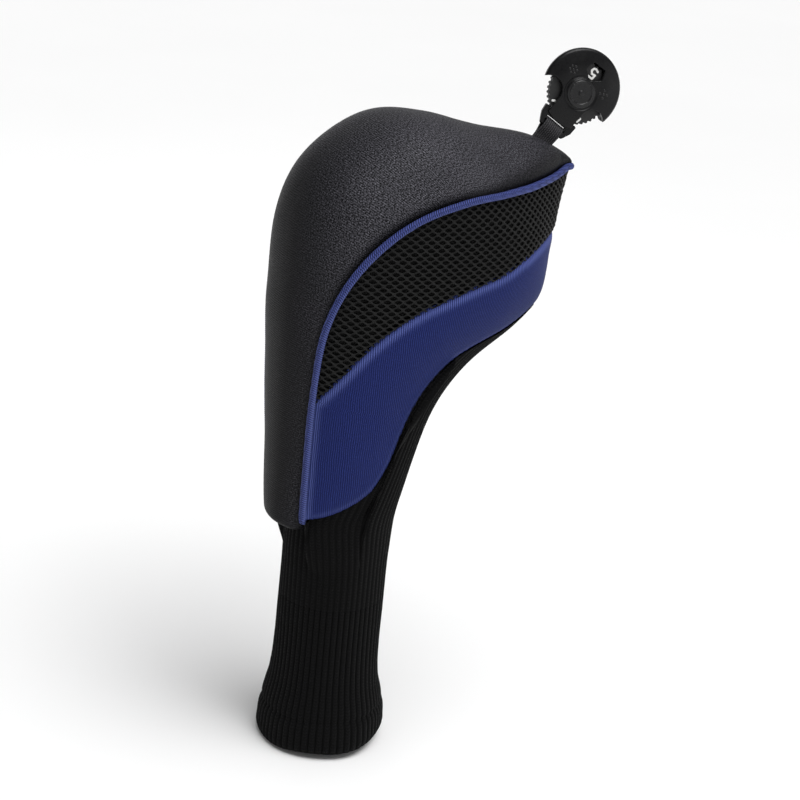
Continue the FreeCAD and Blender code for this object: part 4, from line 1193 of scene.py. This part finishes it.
def knit_paths(angle):
    """Line of each column of the knit, up the neck and under the head or into the crown's lip,
    and the angle of the piping seam."""
    stations, lengths, widening = sole_lengths()
    tables = {}

    def around(station):
        """Places of a section, arc lengths from its front, and angles about the neck."""
        key = round(float(station), 3)
        if key not in tables:
            place, length = dense_places(station, 120)
            ring = head_surface(station, place, LEFT)
            tables[key] = place, length, np.arctan2(ring[:, 1], ring[:, 0] + 2.0)
        return tables[key]

    place, start_length, start_turn = around(BLUE_START)
    seam_angle = np.interp(sole_place(BLUE_START), place, start_turn)
    paths = []
    for a in angle:
        neck = neck_point(np.full(40, a), np.linspace(SPLIT_Z, KNIT_TOP - 10, 40))
        if abs(a) >= seam_angle:
            end = neck_point(np.full(12, a), np.linspace(KNIT_TOP - 8, 124.0, 12))
            paths.append(np.concatenate([neck, end]))
            continue
        offset = np.interp(abs(a), start_turn, start_length)
        last = SOLE_END
        if offset > lengths.min():
            last = float(np.interp(-offset, -lengths, stations))
        run = []
        for station in np.linspace(0.3, last, 60):
            place, length, turn = around(station)
            here = offset * np.interp(station, stations, widening)
            if station < BLUE_START:
                here = np.interp(abs(a), turn, length)
            run.append(head_surface(station, np.interp(here, length, place), LEFT if a >= 0 else RIGHT))
        paths.append(np.concatenate([neck, run]))
    return paths, seam_angle


def build_upper_knit():
    """The neck above the split, and the gusset that it runs up into under the head."""
    rows, columns = 270, RIBS * 6
    angle = (np.arange(columns) + 0.5) * 2 * math.pi / columns - math.pi
    s = (angle % (2 * math.pi)) / (2 * math.pi) * RIBS
    paths, seam_angle = knit_paths(angle)
    grid = np.zeros((rows, columns, 3))
    along = np.zeros((rows, columns))
    for j, path in enumerate(paths):
        smooth_line(path, 6)
        length = run_length(path)
        along[:, j] = np.linspace(0, length[-1], rows)
        grid[:, j] = line_at(path, length, along[:, j])
    smooth_line(grid, 140)
    wrapped = np.concatenate([grid[:, -1:], grid, grid[:, :1]], axis=1)
    normals = grid_normals(wrapped, wrapped * (1, 1, 0))[:, 1:-1]
    z = grid[..., 2]
    ribs = rib_height(s) * np.clip((235.0 - z) / 60.0, 0.25, 1)
    # next to the piping it tucks in under the panels
    beside = smooth_step(np.abs(angle) / seam_angle, 0.5, 0.9) * (np.abs(angle) < seam_angle)
    lift = ribs - (GUSSET_SINK + 2.4 * beside) * smooth_step(z, 102.0, 126.0)
    # painted shade: the knit darkens up the gusset, under the head
    piece = woven_piece("knit_neck_upper", grid + normals * lift[..., None], s, SPLIT_Z + along,
                        0.6 * smooth_step(z, 110.0, 150.0), closed=True)
    faces_out(piece, INSIDE)
    dress(piece, "knit")
    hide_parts("rib_knit_gusset", "rib_knit_collar", "sock_upper_bend", "sock_middle")
    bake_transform(piece)


# ---------------------------------------------------------------- lining

def build_lining(side):
    """One half of the fleece lining, seen through the neck."""
    stations = np.linspace(0.45, 11.1, 110)
    grid = panel_grid(stations, 60, lambda u: 0.0, lambda u: 1.0, side, 0.0)
    normals = normals_out(grid)
    values = section_values(stations)
    back, front = values[:, :2], values[:, 2:4]
    centre = np.insert((back + front) / 2, 1, 0.0, axis=1)[:, None]
    reach = np.linalg.norm(back - front, axis=1) / 2
    shrink = 1 - LINING_INSET / np.minimum(reach, values[:, 4] + 4)
    grid = centre + (grid - centre) * np.clip(shrink, 0.2, 1)[:, None, None]
    grid = keep_to_side(grid + normals * (0.35 * waves(grid, 14.0, 31) - 0.2)[..., None], side)
    piece = mesh_object(f"lining_fleece_{SIDE_NAMES[side]}", grid, grid_faces(*grid.shape[:2]))
    faces_out(piece, INSIDE)
    thick = piece.modifiers.new("thickness", "SOLIDIFY")
    thick.thickness = 0.9 * MM
    thick.offset = -1
    dress(piece, "fleece")
    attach(piece, "head")
    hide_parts(f"lining_{SIDE_NAMES[side]}")


# ---------------------------------------------------------------- number tag

# the tag's right, up and outward directions
TAG_UP = np.array([math.cos(TAG_LEAN), 0.0, math.sin(TAG_LEAN)])
TAG_RIGHT = np.array([math.sin(TAG_LEAN) * math.cos(TAG_TURN), -math.sin(TAG_TURN),
                      -math.cos(TAG_LEAN) * math.cos(TAG_TURN)])
TAG_FACE = np.cross(TAG_RIGHT, TAG_UP)
TAG_BASIS = np.stack([TAG_RIGHT, TAG_UP, TAG_FACE])


def from_tag(points, origin=HUB):
    """Points of the tag's own frame, in the frame of the whole."""
    return np.asarray(points) @ TAG_BASIS + origin


def to_tag(points):
    return (points - HUB) @ TAG_BASIS.T


def copy_of(node, name):
    """A copy of a CAD solid, to be reshaped."""
    return add_object(name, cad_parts[node].data.copy())


def set_points(piece, local):
    """Puts a piece's points at places given in the tag's frame."""
    mesh = piece.data
    mesh.name = piece.name
    mesh.vertices.foreach_set("co", (from_tag(local) * MM).astype(np.float32).ravel())
    mesh.update()


def moulded_shell(node, name, side):
    """The CAD shell remeshed fine, its face domed and its edges softened as moulded."""
    piece = copy_of(node, name)
    remesh = piece.modifiers.new("remesh", "REMESH")
    remesh.mode = "VOXEL"
    remesh.voxel_size = TAG_VOXEL * MM
    smooth = piece.modifiers.new("soften", "SMOOTH")
    smooth.factor = 0.5
    smooth.iterations = 5
    evaluated = piece.evaluated_get(bpy.context.evaluated_depsgraph_get())
    made = bpy.data.meshes.new_from_object(evaluated)
    piece.modifiers.clear()
    piece.data = made
    made.polygons.foreach_set("use_smooth", np.ones(len(made.polygons), bool))
    local = to_tag(mesh_points(made))
    x, y, z = local.T
    z = z * side
    radius = np.hypot(x, y - 2.0)
    dome = (DOME_DROP * np.clip(radius / 19.0, 0, 1) ** 3.2
            - 0.35 * np.exp(-((radius - 11.0) / 4.5) ** 2))
    collar = np.exp(-((np.hypot(x, y) - 7.6) / 0.55) ** 4)
    z = z - np.clip((z - 1.7) / 1.6, 0, 1) * dome - 0.30 * collar * (z > 2.6)
    local[:, 2] = z * side
    # the rim draws in towards the back
    depth = smooth_step(-local[:, 2], -1.0, 4.5)
    taper = 1 - TAG_TAPER * depth * smooth_step(np.hypot(x, y), 12.0, 18.0) / 19.0
    local[:, :2] *= taper[:, None]
    set_points(piece, local)
    dress(piece, "tag")
    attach(piece, "tag")
    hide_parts(node)
    return piece


def lathe(name, profile, around, relief=None):
    """Turned piece in the tag's frame, from (radius, height) pairs and a relief on its face."""
    angle = turns(around)
    radius, height = np.array(profile, float).T[..., None]
    height = height + (relief(radius, angle) if relief else 0 * angle)
    points = np.stack([radius * np.cos(angle), radius * np.sin(angle), height], axis=-1)
    piece = mesh_object(name, from_tag(points), grid_faces(len(profile), around, closed=True))
    faces_out(piece)
    dress(piece, "cap")
    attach(piece, "tag")
    return piece


def soft_profile(corners, radius, steps=5):
    """Profile with its inner corners rounded."""
    corners = np.array(corners, float)
    out = [corners[0]]
    for before, corner, after in zip(corners, corners[1:], corners[2:]):
        one, two = before - corner, after - corner
        cut = min(radius, 0.48 * np.linalg.norm(one), 0.48 * np.linalg.norm(two))
        for t in np.linspace(0, 1, steps):
            out.append(corner + ((1 - t) ** 2 * unit(one) + t ** 2 * unit(two)) * cut)
    return np.array(out + [corners[-1]])


def broken_ring(radius, angle):
    """Low ring on the hub cap, with four gaps."""
    gaps = np.minimum(np.abs(np.sin(2 * angle + 0.5)) * 6, 1)
    return 0.30 * np.exp(-((radius - 5.35) / 0.42) ** 4) * gaps


def build_tag():
    front = moulded_shell("tag_front_shell", "tag_front", 1)
    moulded_shell("tag_back_shell", "tag_back", -1)
    disc = soft_profile([(0.01, 3.3), (6.75, 3.3), (6.8, 4.75), (6.45, 4.98)], 0.35)
    face = [(radius, 4.95) for radius in np.linspace(6.0, 1.5, 46)]
    boss = soft_profile([(1.45, 4.95), (1.25, 5.35), (0.9, 5.55), (0.01, 5.62)], 0.3)
    cap = lathe("hub_cap", np.concatenate([disc, face, boss]), 120, broken_ring)
    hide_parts("hub_rivet")
    rear = lathe("rivet_tail", soft_profile([(0.01, -3.4), (5.0, -3.4), (5.0, -4.7), (3.2, -4.85),
                                             (2.7, -4.35), (2.0, -4.5), (1.6, -4.95),
                                             (0.01, -5.0)], 0.3), 72)
    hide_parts("rivet_washer")
    build_dots(front)


def build_dots(front):
    """Small raised grip dots on the tag's two lobes."""
    angle = turns(14)
    tilt = np.linspace(0, math.pi / 2, 5)[:, None]
    radius = 0.68 * np.cos(tilt) + 0.004
    dome = np.stack(np.broadcast_arrays(radius * np.cos(angle), radius * np.sin(angle),
                                        0.34 * np.sin(tilt) - 0.12), axis=-1)
    tree = BVHTree.FromObject(front, bpy.context.evaluated_depsgraph_get())
    domes = []
    for x, y, count in ((-9.7, 6.2, 6), (9.4, 6.2, 4)):
        turn = turns(count) + 0.4
        ring = np.stack([x + 1.75 * np.cos(turn), y + 1.75 * np.sin(turn)], axis=1)
        for place in [(x, y), *ring]:
            start = Vector(from_tag([*place, 12.0]) * MM)
            hit = tree.ray_cast(start, Vector(-TAG_FACE))[0]
            domes.append(dome + [*place, to_tag(np.array(hit) / MM)[2]])
    faces = grid_faces(*dome.shape[:2], closed=True)[:, ::-1]
    piece = mesh_object("tag_dots", from_tag(domes), repeated(faces, dome[..., 0].size, len(domes)))
    dress(piece, "cap")
    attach(piece, "tag")


def build_numerals():
    """The wheel's numerals, printed a little smaller than the recesses that hold them."""
    piece = copy_of("wheel_numerals", "numerals")
    local = to_tag(mesh_points(piece.data))
    turn = np.arctan2(local[:, 1], local[:, 0])
    numeral = np.round((turn - math.pi / 2) / (2 * math.pi / NUMERALS)).astype(int) % NUMERALS
    for index in range(NUMERALS):
        own = local[numeral == index, :2]
        middle = (own.max(0) + own.min(0)) / 2
        local[numeral == index, :2] = middle * 1.02 + (own - middle) * 0.84
    set_points(piece, local)
    dress(piece, "white")
    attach(piece, "wheel")
    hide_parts("wheel_numerals")


# ---------------------------------------------------------------- webbing strap

def strap_line():
    """Middle line of the webbing in the strap's frame, as (y, z): up, round the bar, down."""
    middle = LOOP_RADIUS + STRAP_THICKNESS / 2
    rest = STRAP_THICKNESS / 2 + 0.02
    up = [(-STRAP_END, rest), (-10.0, rest), (-8.2, rest), (-6.6, rest + 0.02),
          (-5.2, rest + 0.18), (-3.6, rest + 0.95), (-2.0, middle - 0.35)]
    turn = [(middle * math.sin(a) * (1.16 if 0 < a < 3.14 else 1), middle * math.cos(a))
            for a in np.linspace(-0.25, math.pi + 0.25, 30)]
    down = [(y, -z) for y, z in reversed(up)]
    line = dense_line(np.pad(up + turn + down, ((0, 0), (0, 1))), 0.22)[:, :2]
    return smooth_line(line, 10)


def strap_section():
    """Section of the ribbon, as widths and heights: two faces and rounded edges."""
    half, flat = STRAP_THICKNESS / 2, STRAP_HALF_WIDTH - 0.35
    turn = np.linspace(0.3, math.pi - 0.3, 6)
    x = np.concatenate([np.linspace(-flat, flat, 52), flat + 0.35 * np.sin(turn)])
    height = np.concatenate([np.full(52, half), half * np.cos(turn)])
    return np.concatenate([x, -x]), np.concatenate([height, -height])


def build_strap():
    line = strap_line()
    tangent = unit(np.gradient(line, axis=0))
    t = run_length(line)[:, None]
    x, height = strap_section()
    column = x / 1.24
    relief = 0.07 * np.cos(2 * math.pi * column) * np.cos(2 * math.pi * (t / 1.6 + np.round(column) * 0.5))
    depth = height + np.sign(height) * relief * (np.abs(x) < STRAP_HALF_WIDTH - 0.4)
    grid = np.stack([x + 0.10 * np.sin(t / 3.1), line[:, :1] - tangent[:, 1:] * depth,
                     line[:, 1:] + tangent[:, :1] * depth], axis=-1)
    bar = HUB - TAG_UP * BAR_OFFSET
    piece = woven_piece("strap", from_tag(grid, bar), x, t, closed=True)
    faces_out(piece)
    dress(piece, "webbing")
    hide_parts("strap_webbing", "strap_tail")
    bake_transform(piece)
    build_stitches(bar)


def build_stitches(bar):
    """A bar tack across the foot of the webbing, on both its faces."""
    angle = turns(8)
    ring = 0.19 * np.stack([np.cos(angle), 0 * angle, np.sin(angle)], axis=-1)
    share = np.linspace(0, 1, 9)
    tubes = []
    for face in (1, -1):
        height = face * (STRAP_THICKNESS + 0.16 * np.sin(math.pi * share))
        for index, x in enumerate(np.linspace(1.1 - STRAP_HALF_WIDTH, STRAP_HALF_WIDTH - 1.1, 17)):
            lean = 0.32 if index % 2 else -0.32
            centre = np.stack([x - lean + 2 * lean * share, 0.55 - STRAP_ROOT - 1.8 * share, height],
                              axis=-1)
            tubes.append(centre[:, None] + ring)
    points = np.array(tubes).reshape(-1, 3)
    faces = repeated(grid_faces(9, 8, closed=True)[:, ::-1], 9 * 8, len(tubes))
    piece = mesh_object("bar_tack", from_tag(points, bar), faces,
                        {"weave": weave_vectors(points[:, 0], points[:, 1])})
    dress(piece, "thread")
    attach(piece, "head")
    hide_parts("strap_stitches")


# ---------------------------------------------------------------- put together

build_crown()
build_piping()
for side in (RIGHT, LEFT):
    build_mesh_panel(side)
    build_blue_panel(side)
    build_lining(side)
build_upper_knit()
build_lower_knit()
build_tag()
build_numerals()
build_strap()
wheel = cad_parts["number_wheel"]
dress(wheel, "wheel")
